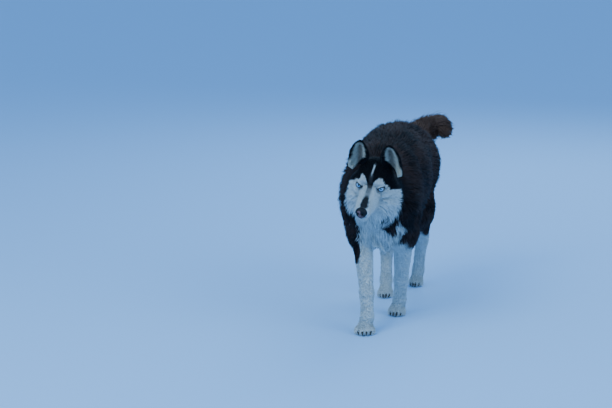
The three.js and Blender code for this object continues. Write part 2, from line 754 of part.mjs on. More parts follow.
// Where two points of one solid fall together, each draws back into the solid by its own small step
const DRAW_BACK = 0.12;
function partTouchingPoints(positions, triangles) {
  const normals = new Float32Array(positions.length);
  const at = (n) => vec(positions.subarray(3 * n, 3 * n + 3));
  for (let t = 0; t < triangles.length; t += 3) {
    const [a, b, c] = [0, 1, 2].map((n) => at(triangles[t + n]));
    const face = b.sub(a).cross(c.sub(a));
    for (const n of [0, 1, 2]) face.toArray().forEach((v, k) => (normals[3 * triangles[t + n] + k] += v));
  }
  const places = new Map();
  for (let n = 0; n < positions.length / 3; n++) {
    const key = at(n).toArray().map((v) => v.toFixed(2)).join();
    places.set(key, [...(places.get(key) ?? []), n]);
  }
  for (const group of places.values()) {
    if (group.length < 2) continue;
    group.forEach((n, order) => {
      const away = vec(normals.subarray(3 * n, 3 * n + 3)).setLength(-DRAW_BACK * (order + 1));
      away.toArray().forEach((v, k) => (positions[3 * n + k] += v));
    });
  }
}

const husky = new THREE.Group();
const FINISH = {
  dark: { color: 0x1d1a1c, roughness: 0.85 },
  white: { color: 0xd9dde0, roughness: 0.85 },
  brown: { color: 0x3a2a26, roughness: 0.85 },
  nose: { color: 0x141214, roughness: 0.35 },
  eye: { color: 0x9cc8ea, roughness: 0.08 },
  claw: { color: 0x1c1614, roughness: 0.4 },
};
function addNode(name, solid, finish) {
  const { numProp, vertProperties, triVerts } = largest(solid).getMesh();
  const positions = new Float32Array((vertProperties.length / numProp) * 3);
  for (let i = 0; i < positions.length / 3; i++)
    positions.set(vertProperties.subarray(i * numProp, i * numProp + 3), i * 3);
  partTouchingPoints(positions, triVerts);
  const geometry = new THREE.BufferGeometry();
  geometry.setAttribute("position", new THREE.BufferAttribute(positions, 3));
  geometry.setIndex(new THREE.BufferAttribute(triVerts, 1));
  geometry.computeVertexNormals();
  const mesh = new THREE.Mesh(geometry, new THREE.MeshStandardMaterial({ metalness: 0, ...FINISH[finish] }));
  mesh.name = name;
  husky.add(mesh);
}

// Head, muzzle, ears, eyes and nose
let face = coatWith(surfaceOf(coatField, [-125, -480, 350], [115, -285, 610], HEAD_CELL));
for (const side of [-1, 1]) {
  face = face.add(eyeBall(side, EYE_RADIUS + LID_THICKNESS)).subtract(eyeOpening(side));
  face = face.subtract(eyeBall(side, EYE_RADIUS + GAP)).subtract(ear(side, GAP));
}
addNode("head", face.intersect(ahead(skullBase)).intersect(behind(muzzleBase)), "dark");
const snout = surfaceOf(coatField, [-75, -575, 370], [65, -400, 540], MUZZLE_CELL);
addNode("muzzle", snout.subtract(mouthGroove()).subtract(nose(GAP)).intersect(ahead(muzzleBase)), "white");
addNode("nose", nose().subtract(nostril(-1)).subtract(nostril(1)), "nose");
for (const [side, name] of [[-1, "right"], [1, "left"]]) {
  addNode(`ear_${name}`, ear(side), "dark");
  addNode(`eye_${name}`, eyeBall(side, EYE_RADIUS), "eye");
}

// Neck
const neckSolid = coatWith(surfaceOf(coatField, [-170, -450, 290], [170, -160, 640], NECK_CELL));
addNode("neck", neckSolid.intersect(behind(skullBase)).intersect(ahead(neckBase)), "white");

// Trunk
let torso = coatWith(surfaceOf(coatField, [-170, -380, 200], [170, 400, 660], TORSO_CELL));
torso = torso.intersect(behind(neckBase)).intersect(behind(tailRoot));
for (const leg of Object.values(LEGS)) torso = torso.subtract(legSpace(leg, GAP));
addNode("torso", torso, "dark");

// Legs and paws
for (const [name, leg] of Object.entries(LEGS)) {
  const { paw, side } = leg;
  const [joint, ankle] = leg.shoulder ? [leg.elbow, leg.wrist] : [leg.stifle, leg.hock];
  const bend = { point: lerp(joint, ankle, 0.3), normal: minus(joint, ankle) };
  const space = legSpace(leg);
  const [front, back] = leg.shoulder ? [-400, -60] : [40, 420];
  const low = [side < 0 ? -175 : 1, front, 130];
  const high = [side < 0 ? -1 : 175, back, 520];
  const upper = coatWith(surfaceOf(coatField, low, high, UPPER_LEG_CELL)).intersect(space);
  addNode(`${name}_upper`, upper.intersect(behind(neckBase)).intersect(ahead(bend)), "white");

  const around = (n, pick, margin) => pick(...[joint, ankle, leg.pastern].map((p) => p[n])) + margin;
  const shank = surfaceOf(
    coatField,
    [around(0, Math.min, -60), around(1, Math.min, -60), 20],
    [around(0, Math.max, 60), around(1, Math.max, 60), 330],
    LOWER_LEG_CELL,
  );
  const above = boxSolid([-600, -600, PAW_TOP + GAP], [600, 600, 900]);
  addNode(`${name}_lower`, shank.intersect(space).intersect(behind(bend)).intersect(above), "white");

  const [x, y] = paw.at;
  let foot = surfaceOf(coatField, [x - 55, y - 75, -12], [x + 55, y + 75, PAW_TOP + 20], PAW_CELL);
  foot = foot.intersect(boxSolid([-600, -600, 0], [600, 600, PAW_TOP]));
  toes(leg).forEach((toe, i) => {
    foot = foot.subtract(claw(toe, GAP));
    addNode(`claw_${name}_${i + 1}`, claw(toe), "claw");
  });
  addNode(`paw_${name}`, foot, "white");
}

// Tail
const brush = coatWith(surfaceOf(coatField, [-110, 230, 420], [230, 540, 690], TAIL_CELL));
const tail = brush.intersect(ahead(tailRoot));
addNode("tail", tail.intersect(behind(tailMiddle)), "brown");
addNode("tail_tip", tail.intersect(ahead(tailMiddle)), "brown");

const extent = new THREE.Box3().setFromObject(husky);
husky.position.set(-(extent.min.x + extent.max.x) / 2, -(extent.min.y + extent.max.y) / 2, 0);

export default husky;
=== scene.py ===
# Siberian husky in mid-walk: skin, coat, eyes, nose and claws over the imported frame.
# Shapes are worked out in millimetres in the modelling frame, with the dog facing -Y and its left at +X,
# and moved to the row frame, in metres, when a mesh is made.
import itertools
import math

import bpy
import numpy as np
from mathutils import Matrix, Vector, kdtree


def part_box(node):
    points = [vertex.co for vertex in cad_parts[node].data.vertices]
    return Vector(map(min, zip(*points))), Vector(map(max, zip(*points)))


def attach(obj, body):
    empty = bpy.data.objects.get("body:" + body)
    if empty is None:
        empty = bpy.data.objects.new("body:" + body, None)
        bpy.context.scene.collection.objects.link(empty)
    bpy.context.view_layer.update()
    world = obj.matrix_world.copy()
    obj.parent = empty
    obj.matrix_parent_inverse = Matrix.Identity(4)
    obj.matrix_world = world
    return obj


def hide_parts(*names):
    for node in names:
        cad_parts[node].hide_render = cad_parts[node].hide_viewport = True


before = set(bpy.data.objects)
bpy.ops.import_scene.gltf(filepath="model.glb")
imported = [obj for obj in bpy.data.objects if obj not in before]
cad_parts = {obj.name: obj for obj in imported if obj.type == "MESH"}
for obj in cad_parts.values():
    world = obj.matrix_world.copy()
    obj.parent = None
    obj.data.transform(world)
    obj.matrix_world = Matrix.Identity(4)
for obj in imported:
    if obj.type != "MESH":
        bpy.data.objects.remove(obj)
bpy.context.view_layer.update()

# Head frame

EYES_AT = np.array([-3.0, -435.0, 495.0])
HEAD_PITCH, HEAD_YAW, HEAD_ROLL = 22.0, -9.0, 8.3
EYE_RADIUS = 11.0
EYE_SPREAD = 36.0
EYE_SET_BACK = 1.0
HEAD_LOW = 352.0  # the lowest height of the head's own skin and of the white face
NECK_TOP = 442.0  # the chest's white stays below this


def turned(axis, degrees):
    return np.array(Matrix.Rotation(math.radians(degrees), 3, axis))


HEAD_TURN = turned("Z", HEAD_YAW) @ turned("X", HEAD_PITCH) @ turned("Y", HEAD_ROLL)


def on_head(p):
    return np.asarray(p, float) @ HEAD_TURN.T + EYES_AT


def to_head(p):
    return (p - EYES_AT) @ HEAD_TURN


def eye_centre(side):
    return np.array([EYE_SPREAD * side, EYE_SET_BACK, 0.0])


# The row frame's offset, read from where the frame holds the right eye
low, high = (np.array(c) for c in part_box("eye_right"))
SHIFT = (low + high) / 2 - on_head(eye_centre(-1)) / 1000


def to_row(p):
    return np.asarray(p) / 1000 + SHIFT


# Masses of the body

# depth and length of the coat, width of a tuft in mm, tufts on each square mm
STYLES = {
    "trunk": (35, 58, 4.3, 0.072),
    "chest": (34, 54, 3.8, 0.10),
    "neck": (37, 56, 3.5, 0.115),
    "cheek": (22, 32, 2.4, 0.25),
    "shoulder": (24, 44, 3.8, 0.09),
    "thigh": (18, 36, 3.6, 0.10),
    "leg": (4.2, 16, 2.3, 0.145),
    "paw": (3, 8, 1.8, 0.24),
    "skull": (8, 15, 2.0, 0.26),
    "face": (4.5, 10, 1.6, 0.35),
    "muzzle": (3.2, 6.5, 1.3, 0.46),
    "tail": (32, 62, 3.5, 0.25),
}
DEPTH, LENGTH, WIDTH, DENSITY = range(4)
masses = []


def limb(a, b, ra, rb, blend, style, lie, wide=1.0, head=False):
    masses.append(dict(a=np.array(a, float), b=np.array(b, float), ra=ra, rb=rb, blend=blend,
                       style=style, lie=np.array(lie, float), wide=wide, head=head))


def ball(c, r, blend, style, lie, head=False):
    masses.append(dict(c=np.array(c, float), r=np.array(r, float), blend=blend, style=style,
                       lie=np.array(lie, float), head=head))


def mass_distance(m, p):
    if "r" in m:
        q = (p - m["c"]).T
        r = m["r"]
        near = np.sqrt(sum((q[n] / r[n]) ** 2 for n in range(3)))
        slope = np.sqrt(sum((q[n] / r[n] ** 2) ** 2 for n in range(3)))
        return near * (near - 1) / np.maximum(slope, 1e-6)
    scale = np.array([1 / m["wide"], 1, 1])
    d = (m["b"] - m["a"]) * scale
    q = (p - m["a"]) * scale
    t = np.clip(q @ d / (d @ d), 0, 1)
    return np.linalg.norm(q - t[:, None] * d, axis=1) - (m["ra"] + (m["rb"] - m["ra"]) * t)


def smooth_min(a, b, blend):
    h = np.maximum(blend - np.abs(a - b), 0) / blend
    return np.minimum(a, b) - h * h * blend / 4


# Trunk and neck
ball([0, -95, 424], [102, 210, 142], 1, "trunk", [0, 1, -0.35])
limb([0, -150, 508], [0, 80, 524], 46, 48, 50, "trunk", [0, 1, -0.1])
limb([0, 20, 468], [0, 180, 474], 98, 100, 70, "trunk", [0, 1, -0.35])
ball([0, 205, 474], [105, 104, 100], 50, "trunk", [0, 0.8, -0.6])
ball([0, -225, 376], [70, 70, 90], 50, "chest", [0, 0.3, -1])
limb([0, -205, 454], [-2, -320, 466], 82, 62, 50, "neck", [0, 0.75, -0.6], wide=1.04)
limb([-2, -290, 438], [-3, -366, 444], 64, 52, 40, "neck", [0, 0.6, -0.75])

# Head
ball([0, 62, 8], [52, 48, 49], 30, "skull", [0, 1, 0.1], head=True)
ball([0, 18, 20], [40, 21, 20], 24, "face", [0, 0.7, 0.75], head=True)
limb([0, -8, -28], [0, -74, -42], 30, 19, 20, "face", [0, 1, 0.1], head=True)
limb([0, -14, -10], [0, -76, -34], 13, 10, 12, "muzzle", [0, 1, 0.35], head=True)
limb([0, 10, -64], [0, -71, -70], 25, 13, 14, "muzzle", [0, 1, -0.3], head=True)
for side in (-1, 1):
    ball([27 * side, 4, 17], [14, 9, 7], 10, "face", [0.35 * side, 0.6, 0.7], head=True)
    limb([43 * side, 12, -25], [54 * side, 48, -18], 10, 16, 16, "face", [0.45 * side, 0.9, -0.1], head=True)
    limb([12 * side, -30, -43], [11 * side, -77, -46], 16, 12, 10, "muzzle", [0.25 * side, 1, -0.15],
         head=True)
    ball([46 * side, 62, -38], [24, 30, 28], 26, "cheek", [0.55 * side, 0.8, -0.55], head=True)

# Legs
LEGS = {
    "foreleg_right": dict(side=-1, shoulder=[-58, -240, 385], joint=[-60, -228, 297], ankle=[-28, -330, 124],
                          pastern=[-21, -362, 52], at=[-27, -372], width=68, out=7),
    "foreleg_left": dict(side=1, shoulder=[68, -236, 385], joint=[74, -196, 300], ankle=[56, -118, 124],
                         pastern=[49, -98, 52], at=[42, -98], width=60, out=3),
    "hindleg_right": dict(side=-1, hip=[-52, 195, 440], joint=[-82, 128, 312], ankle=[-42, 226, 160],
                          pastern=[-37, 182, 52], at=[-36, 160], width=54, out=4),
    "hindleg_left": dict(side=1, hip=[52, 200, 440], joint=[84, 172, 304], ankle=[68, 330, 172],
                         pastern=[54, 364, 54], at=[50, 352], width=50, out=4),
}


def on_paw(leg, x, y, z):
    turn = math.radians(-leg["out"] * leg["side"])
    c, s = math.cos(turn), math.sin(turn)
    return [leg["at"][0] + x * c - y * s, leg["at"][1] + x * s + y * c, z]


def toes(leg):
    pitch = leg["width"] / 4.35
    for place in (-1.5, -0.5, 0.5, 1.5):
        at = on_paw(leg, place * pitch, -24 if abs(place) < 1 else -12, 10)
        yield at, pitch, math.radians(-leg["out"] * leg["side"] - place * 6)


DOWN = [0, 0.2, -1]
for leg in LEGS.values():
    side = leg["side"]
    if "shoulder" in leg:
        limb([54 * side, -150, 510], leg["shoulder"], 34, 40, 40, "shoulder", [0, 0.6, -0.8])
        limb(leg["shoulder"], leg["joint"], 40, 35, 36, "thigh", [0, 0.4, -1])
        limb(leg["joint"], leg["ankle"], 33, 19, 26, "leg", DOWN)
        limb(leg["ankle"], leg["pastern"], 20, 18, 14, "leg", DOWN)
    else:
        limb(leg["hip"], leg["joint"], 74, 44, 50, "thigh", [0, 0.35, -1], wide=0.8)
        limb(leg["hip"], leg["ankle"], 54, 16, 40, "thigh", [0, 0.35, -1], wide=0.75)
        limb(leg["joint"], leg["ankle"], 40, 17, 26, "leg", DOWN)
        limb(leg["ankle"], leg["pastern"], 18, 17, 14, "leg", DOWN)
    limb(leg["pastern"], on_paw(leg, 0, -4, 22), 17, 17, 14, "leg", [0, -0.2, -1])
    limb(on_paw(leg, 0, 22, 13), on_paw(leg, 0, -10, 16), 17, 17, 16, "paw", [0, -0.7, -0.7],
         wide=leg["width"] / 54)
    for at, pitch, _ in toes(leg):
        ball(at, [pitch * 0.6, 19, 14], 7, "paw", [0, -0.8, -0.6])

# Tail
TAIL_POINTS = np.array([[0, 258, 496], [18, 322, 520], [46, 372, 546], [80, 402, 566], [112, 408, 574],
                        [132, 392, 562]], float)


def curve(points, x):
    """A Catmull-Rom curve through points, at places x that count 0, 1, 2 ... from point to point."""
    i = np.minimum(x.astype(int), len(points) - 2)
    f = (x - i)[:, None]
    ends = np.vstack([2 * points[0] - points[1], points, 2 * points[-1] - points[-2]])
    a, b, c, d = ends[i], ends[i + 1], ends[i + 2], ends[i + 3]
    return 0.5 * (2 * b + (c - a) * f + (2 * a - 5 * b + 4 * c - d) * f ** 2
                  + (3 * b - a - 3 * c + d) * f ** 3)


def tail_at(t):
    """Points on the tail's line, by their share of the way from root to tip."""
    return curve(TAIL_POINTS, np.clip(t, 0, 1) * (len(TAIL_POINTS) - 1))


def on_tail(p):
    return (p[:, 1] > 292) & (p[:, 2] > 470)


TAIL_STEPS = 7
tail_line = tail_at(np.linspace(0, 1, TAIL_STEPS + 1))
for i in range(TAIL_STEPS):
    s, t = i / TAIL_STEPS, (i + 1) / TAIL_STEPS
    ahead = tail_line[i + 1] - tail_line[i]
    limb(tail_line[i], tail_line[i + 1], 20 - 13 * s, 20 - 13 * t, 18, "tail", ahead)

NOSE = dict(at=np.array([0.0, -94.5, -40.5]), radii=(19.5, 16.5, 18.5))

OPENING = dict(half=10.4, up=6.6, down=6.4, slant=22.0, turn=22.0, power=1.2)


def eye_turn(side):
    return turned("Z", OPENING["turn"] * side) @ turned("Y", -OPENING["slant"] * side)


def almond(h, side):
    """How far a point before the eye lies from its middle: 1 on the edge of the lids, large elsewhere."""
    q = (h - eye_centre(side)) @ eye_turn(side)
    x = q[:, 0] / OPENING["half"]
    z = q[:, 2] / np.where(q[:, 2] > 0, OPENING["up"], OPENING["down"])
    r = np.sqrt(x ** 2 + np.abs(z) ** (2 / OPENING["power"]))
    return np.where(q[:, 1] < 7, r, 9.0)


SOCKETS = [(eye_centre(s) + [2 * s, -14, 0], np.array([15.0, 8.0, 8.0])) for s in (-1, 1)]


def skin_field(p):
    """Signed distance from the skin, below zero inside."""
    h = to_head(p)
    d = np.full(len(p), 1e3)
    for m in masses:
        d = smooth_min(d, mass_distance(m, h if m["head"] else p), m["blend"])
    for c, r in SOCKETS:
        d = -smooth_min(-d, mass_distance(dict(c=c, r=r), h), 8)
    return d


class Grid:
    """The field sampled on a lattice, read back by trilinear interpolation."""

    def __init__(self, low, high, cell, field):
        self.low, self.cell = np.array(low, float), cell
        self.n = np.ceil((np.array(high) - self.low) / cell).astype(int) + 1
        axes = [self.low[i] + cell * np.arange(self.n[i]) for i in range(3)]
        p = np.stack(np.meshgrid(*axes, indexing="ij"), -1).reshape(-1, 3)
        parts = [field(p[i:i + 200000]) for i in range(0, len(p), 200000)]
        self.v = np.concatenate(parts).reshape(self.n)

    def at(self, p):
        x = np.clip((p - self.low) / self.cell, 0, self.n - 1.001)
        i = x.astype(int)
        f = x - i
        out = 0
        for corner in itertools.product((0, 1), repeat=3):
            w = np.prod([f[:, n] if corner[n] else 1 - f[:, n] for n in range(3)], axis=0)
            out = out + w * self.v[i[:, 0] + corner[0], i[:, 1] + corner[1], i[:, 2] + corner[2]]
        return out

    def slope(self, p):
        e = 0.6 * self.cell
        return np.stack([self.at(p + e * d) - self.at(p - e * d) for d in np.eye(3)], 1) / (2 * e)

    def lifted(self, p, height):
        """The points moved along the slope to that height above the skin."""
        for _ in range(2):
            g = self.slope(p)
            step = (height - self.at(p)) / np.maximum((g * g).sum(1), 0.3)
            p = p + g * step[:, None]
        return p


def nets(grid, field, keep=lambda centre: np.ones(len(centre), bool)):
    """Surface nets on a grid: points near the zero surface, drawn onto it, and quads."""
    v = grid.v
    n = grid.n
    corner_values = np.stack([v[a:n[0] - 1 + a, b:n[1] - 1 + b, c:n[2] - 1 + c]
                              for a, b, c in itertools.product((0, 1), repeat=3)], -1)
    active = (corner_values.min(-1) < 0) & (corner_values.max(-1) >= 0)
    ids = np.full(active.shape, -1)
    where = np.argwhere(active)
    ids[active] = np.arange(len(where))
    f = corner_values[active]
    offsets = np.array(list(itertools.product((0, 1), repeat=3)), float)
    total, count = np.zeros((len(where), 3)), np.zeros(len(where))
    for a in range(8):
        for b in range(a + 1, 8):
            if np.abs(offsets[a] - offsets[b]).sum() != 1:
                continue
            cross = (f[:, a] < 0) != (f[:, b] < 0)
            t = np.where(cross, f[:, a] / np.where(cross, f[:, a] - f[:, b], 1), 0)
            total += cross[:, None] * (offsets[a] + t[:, None] * (offsets[b] - offsets[a]))
            count += cross
    points = grid.low + grid.cell * (where + total / count[:, None])
    start = points.copy()
    for _ in range(2):
        g = np.stack([field(points + 0.4 * d) - field(points - 0.4 * d) for d in np.eye(3)], 1) / 0.8
        points = points - g * (field(points) / np.maximum((g * g).sum(1), 0.2))[:, None]
    points = start + np.clip(points - start, -0.6 * grid.cell, 0.6 * grid.cell)
    quads = []
    inside = v < 0
    for axis in range(3):
        ahead = np.roll(inside, -1, axis)
        edge = inside != ahead
        mask = np.zeros_like(edge)
        mask[1:-1, 1:-1, 1:-1] = edge[1:-1, 1:-1, 1:-1]
        at = np.argwhere(mask)
        u, w = (axis + 1) % 3, (axis + 2) % 3
        ring = []
        for du, dw in ((0, 0), (1, 0), (1, 1), (0, 1)):
            c = at.copy()
            c[:, u] -= du
            c[:, w] -= dw
            ring.append(ids[c[:, 0], c[:, 1], c[:, 2]])
        ring = np.stack(ring, 1)
        flip = ~inside[at[:, 0], at[:, 1], at[:, 2]]
        ring[flip] = ring[flip][:, ::-1]
        quads.append(ring)
    quads = np.concatenate(quads)
    quads = quads[(quads >= 0).all(1)]
    quads = quads[keep(points[quads].mean(1))]
    used, quads = np.unique(quads, return_inverse=True)
    return points[used], quads.reshape(-1, 4)

# Noise, markings and painted shade


def noise(p, size, seed=0):
    """Smooth value noise from -1 to 1 at a given size in mm."""
    q = np.asarray(p) / size + seed * 17.3
    i = np.floor(q).astype(np.int64)
    f = q - i
    f = f * f * (3 - 2 * f)
    out = 0
    for corner in itertools.product((0, 1), repeat=3):
        c = i + corner
        h = (c[:, 0] * 73856093) ^ (c[:, 1] * 19349663) ^ (c[:, 2] * 83492791)
        h = (h * 1103515245 + 12345) & 0x7FFFFFFF
        h = ((h >> 8) ^ h) & 0xFFFF
        w = np.prod([f[:, n] if corner[n] else 1 - f[:, n] for n in range(3)], axis=0)
        out = out + w * (h / 32767.5 - 1)
    return out


def step(x, edge, soft):
    t = np.clip((x - edge) / soft + 0.5, 0, 1)
    return t * t * (3 - 2 * t)


def near(p, centre, radii, soft=0.35):
    d = np.sqrt((((p - np.array(centre)) / np.array(radii)) ** 2).sum(1))
    return 1 - step(d, 1, soft)


def near_line(p, a, b, ra, rb, soft):
    a, b = np.array(a, float), np.array(b, float)
    t = np.clip((p - a) @ (b - a) / ((b - a) @ (b - a)), 0, 1)
    return 1 - step(np.linalg.norm(p - a - t[:, None] * (b - a), axis=1) - (ra + (rb - ra) * t), 0, soft)


def plain(colour, count):
    return np.tile(colour, (count, 1))


def blend(a, b, w):
    return a + (np.asarray(b) - a) * w[:, None]


BLACK = (0.0085, 0.0082, 0.0100)
BROWN_BLACK = (0.0190, 0.0135, 0.0140)
RED_BROWN = (0.075, 0.037, 0.029)
TAIL_BROWN = (0.185, 0.098, 0.070)
GREY = (0.085, 0.078, 0.080)
# The bridge grey is painted shade for the dip between the eyes
BRIDGE_SHADE = (0.16, 0.14, 0.14)
WHITE = (0.80, 0.79, 0.765)
CREAM = (0.66, 0.615, 0.52)
EYE_RIM = (0.010, 0.009, 0.010)
DARK_PATCH = (0.017, 0.016, 0.019)
EAR_CREAM = (0.78, 0.67, 0.53)
EAR_MIDDLE = (0.15, 0.095, 0.075)
IRIS, IRIS_RAYS, IRIS_EDGE = (0.10, 0.28, 0.55), (0.36, 0.62, 0.86), (0.012, 0.03, 0.07)
EYE_WHITE, PUPIL = (0.30, 0.27, 0.25), (0.002, 0.002, 0.003)
# The third nose colour is painted shade for the nose's carved hollows
NOSE_BLACK, NOSE_PINK, NOSTRIL_SHADE = (0.0105, 0.0095, 0.0110), (0.27, 0.125, 0.125), (0.003, 0.003, 0.003)

# From the head's own x, y and z to how far across and up the photo's camera sees a point of the face
FACE_VIEW = np.array([[0.974, -0.033], [0.20, 0.56], [-0.097, 0.826]])

# The lower edge of the dark cap, from the dog's right to its left: how far across and how far up
CAP = np.array([(-86, -8), (-84, 0), (-79, 4), (-70, 6), (-59, 10), (-50, 14), (-41, 17), (-36, 19), (-34, 22),
                (-32, 31), (-28, 35), (-22, 31), (-16, 22), (-11, 10), (-7, -8), (5, -8), (7, 6), (10, 14),
                (15, 22), (21, 27), (28, 28), (34, 26), (38, 21), (47, 12), (55, 9), (60, 3), (63, -1),
                (66, 0), (73, 3), (82, 4), (91, 6), (97, 6), (101, 2), (103, -20)])
# The lower edge of the white face, open at the throat
JAW = np.array([(-86, -17), (-84, -28), (-81, -38), (-77, -49), (-72, -57), (-64, -66), (-55, -71),
                (-48, -75), (-45, -78), (-42, -91), (-40, -101), (-34, -110), (-26, -116), (-15, -121),
                (-9, -160), (43, -160), (45, -95), (48, -90), (55, -87), (66, -85), (74, -80), (83, -72),
                (91, -63), (99, -55), (105, -44), (107, -20)])
# The upper edge of the white chest: x and z. Above it is the dark collar, open at the throat
COLLAR = np.array([(-112, 322), (-100, 345), (-85, 352), (-76, 338), (-68, 324), (-60, 321), (-52, 335),
                   (-46, 352), (-42, 600), (10, 600), (14, 385), (18, 330), (50, 326), (57, 340), (63, 362),
                   (72, 364), (80, 346), (86, 328), (94, 324), (104, 320), (120, 300)])


def nearest(p, h, head):
    """Distance to the nearest mass of the head, or of the rest of the body."""
    d = np.full(len(p), 1e3)
    for m in masses:
        if m["head"] == head:
            d = np.minimum(d, mass_distance(m, h if head else p))
    return d


def dark_coat(p):
    """Black in front; brown-black with reddish and grey patches over the back; a red-brown tail."""
    _, y, z = p.T
    back = step(y, -300, 120)
    dark = blend(plain(BLACK, len(p)), BROWN_BLACK, back)
    rust = step(noise(p * [1, 0.6, 1], 46, 3) + 0.6 * noise(p, 14, 4), 0.0, 1.0) * back
    dark = blend(dark, RED_BROWN, 0.8 * rust)
    ash = step(noise(p * [1, 0.5, 1], 34, 5) + 0.5 * noise(p, 11, 6), 0.6, 0.7) * back
    dark = blend(dark, GREY, 0.3 * ash)
    tail = step(y, 296, 30) * step(z, 470, 30)
    return blend(dark, TAIL_BROWN, tail * (0.45 + 0.5 * step(noise(p, 24, 9), 0, 1.0)))


def light_coat(p):
    """White, with cream on the chest."""
    _, y, z = p.T
    cream = np.clip(0.45 + 0.5 * noise(p, 30, 7), 0, 1)
    cream *= step(-y, 160, 60) * step(-z, -400, 60) * step(z, 250, 60)
    return blend(plain(WHITE, len(p)), CREAM, 0.4 * cream)


def trunk_white(p, wander, streaks):
    """How white the trunk and legs are, from 0 to 1."""
    x, y, z = p.T
    wide = np.abs(x)
    # The chest, below the dark collar and in front of the shoulders
    right_edge = -66 - (z - 259) * 0.26 + 1.4 * wander
    left_edge = np.interp(z, [250, 290, 330, 380], [98, 104, 113, 120]) + 1.4 * wander
    collar = np.interp(x, *COLLAR.T) + 1.6 * wander
    behind = np.interp(wide, [0, 55, 80, 110], [-200, -215, -262, -290]) + 1.5 * wander
    chest = step(x, right_edge, 10) * step(-x, -left_edge, 10) * step(-y, -behind, 26) * step(-z, -collar, 9)
    chest = chest * step(-z, -NECK_TOP, 20)
    # The belly and the lower legs, up to a line that drops towards the thighs
    flank = np.interp(wide, [50, 85, 110], [290, 268, 240])
    thigh = np.interp(wide, [40, 66, 92], [300, 240, 205])
    belly = step(-z, -(flank + (thigh - flank) * step(y, 40, 60) + 2.2 * wander), 26)
    inner = step(-wide, -(46 + wander), 16) * step(-z, -380, 50) * step(y, -250, 30)
    # Behind the thighs, and under the root of the tail
    rear = step(y, 266 + 2 * wander, 30) * step(-z, -436 + 3 * wander, 44) * step(-wide, -68 + 2 * wander, 30)
    under_tail = step(y, 292, 20) * step(-(z - 0.42 * (y - 300)), -492 + wander, 18) * step(x, -30, 20)
    white = np.maximum.reduce([chest, belly, inner, 0.8 * rear, 0.7 * under_tail])
    # Dark streaks at the collar and down the upper right foreleg, and painted shade under the chest's end
    white = white * (1 - near(p, [66, -300, 316], [7, 70, 13], 0.7) * (0.3 + 0.6 * streaks))
    # Painted shade under the end of the chest
    white = white * (1 - 0.85 * near(p, [8, -258, 246], [26, 60, 11], 0.5))
    sleeve = near_line(p, [-94, -254, 328], [-63, -290, 218], 33, 11, 18)
    sleeve = sleeve + 0.42 * noise(p * [1, 0.5, 0.28], 6, 15)
    return white * (1 - step(sleeve, 0.55, 0.3))


def face_white(p, h, wander):
    """The white between the cap's edge and the jaw's, and the white marks elsewhere on the head."""
    hx, hy, hz = h.T
    across, seen = (h @ FACE_VIEW).T
    soft = 0.28 * wander
    cap = np.interp(across, *CAP.T) + soft
    jaw = np.interp(across, *JAW.T)
    jaw = np.where(hx < 0, np.maximum(jaw, -160 + 82 * step(hy, 15, 20)), jaw) + soft
    face = step(-seen, -cap, 3.2) * step(seen, jaw, 6) * step(-hy, -(70 + wander), 12)
    face = face * step(p[:, 2], HEAD_LOW, 20)
    throat = step(-hz, 72, 14) * step(hx, -24, 14) * step(-hx, -38, 14)
    lean = np.abs(across - 0.2 * (seen - 39))
    blaze = (1 - step(lean, 2.5, 2.4)) * step(seen, 33, 14) * step(-seen, -67, 5) * step(-hy, -50, 10)
    return face, np.maximum(throat, 0.92 * blaze)


def with_face_marks(colour, p, h, head, streaks):
    """Adds the grey strip down the bridge, painted shade between the eyes, the dark patch above the nose and
    the dark rims round the eyes.
    """
    hx, hy, hz = h.T
    seen = (h @ FACE_VIEW)[:, 1]
    strip = (1 - step(np.abs(hx - 2), 6, 5)) * step(seen, -24, 10) * step(-seen, -38, 8)
    colour = blend(colour, GREY, strip * (0.35 + 0.5 * streaks) * head * step(-hy, -20, 8))
    top = head * step(hz, -44, 8) * step(-hy, 0, 10)
    # Painted shade in the dip between the eyes
    between_eyes_shade = (1 - step(np.abs(hx - 3), 8, 7)) * step(seen, -34, 12) * step(-seen, 0, 12)
    colour = blend(colour, BRIDGE_SHADE, 0.5 * between_eyes_shade * top)
    wide = np.interp(seen, [-63, -48, -37, -28], [11, 9.5, 6.5, 4])
    patch = 1 - step(np.abs(hx - 3) + 2.4 * noise(p, 5, 10), wide, 5)
    patch *= step(seen, -72, 6) * step(-seen, 31, 14)
    colour = blend(colour, DARK_PATCH, 0.97 * patch * top)
    for s in (-1, 1):
        rim = 1 - step(almond(h, s), 1.32, 0.14)
        inner_corner = near_line(h, [29 * s, -10, -4], [22 * s, -17, -5.5], 4.0, 2.2, 2.5)
        outer_corner = near_line(h, [45 * s, 7, -2], [50 * s, 15, -4], 3.4, 1.8, 2.5)
        mark = np.maximum.reduce([rim, 0.97 * inner_corner, 0.93 * outer_corner])
        colour = blend(colour, EYE_RIM, np.clip(mark, 0, 1))
    return colour


def coat_colour(p):
    """The coat's colour at points of the body, in linear RGB."""
    h = to_head(p)
    wander = noise(p, 24, 1) * 5 + noise(p, 9, 2) * 3
    streaks = 0.5 + 0.5 * noise(p * [1, 0.3, 0.3], 7, 8)
    head = step(nearest(p, h, False) - nearest(p, h, True), 2, 12)
    face, marks = face_white(p, h, wander)
    white = trunk_white(p, wander, streaks) * (1 - head)
    white = np.maximum.reduce([white, face, head * marks])
    colour = blend(dark_coat(p), light_coat(p), np.clip(white, 0, 1))
    return with_face_marks(colour, p, h, head, streaks)

# Unwrap of the skin


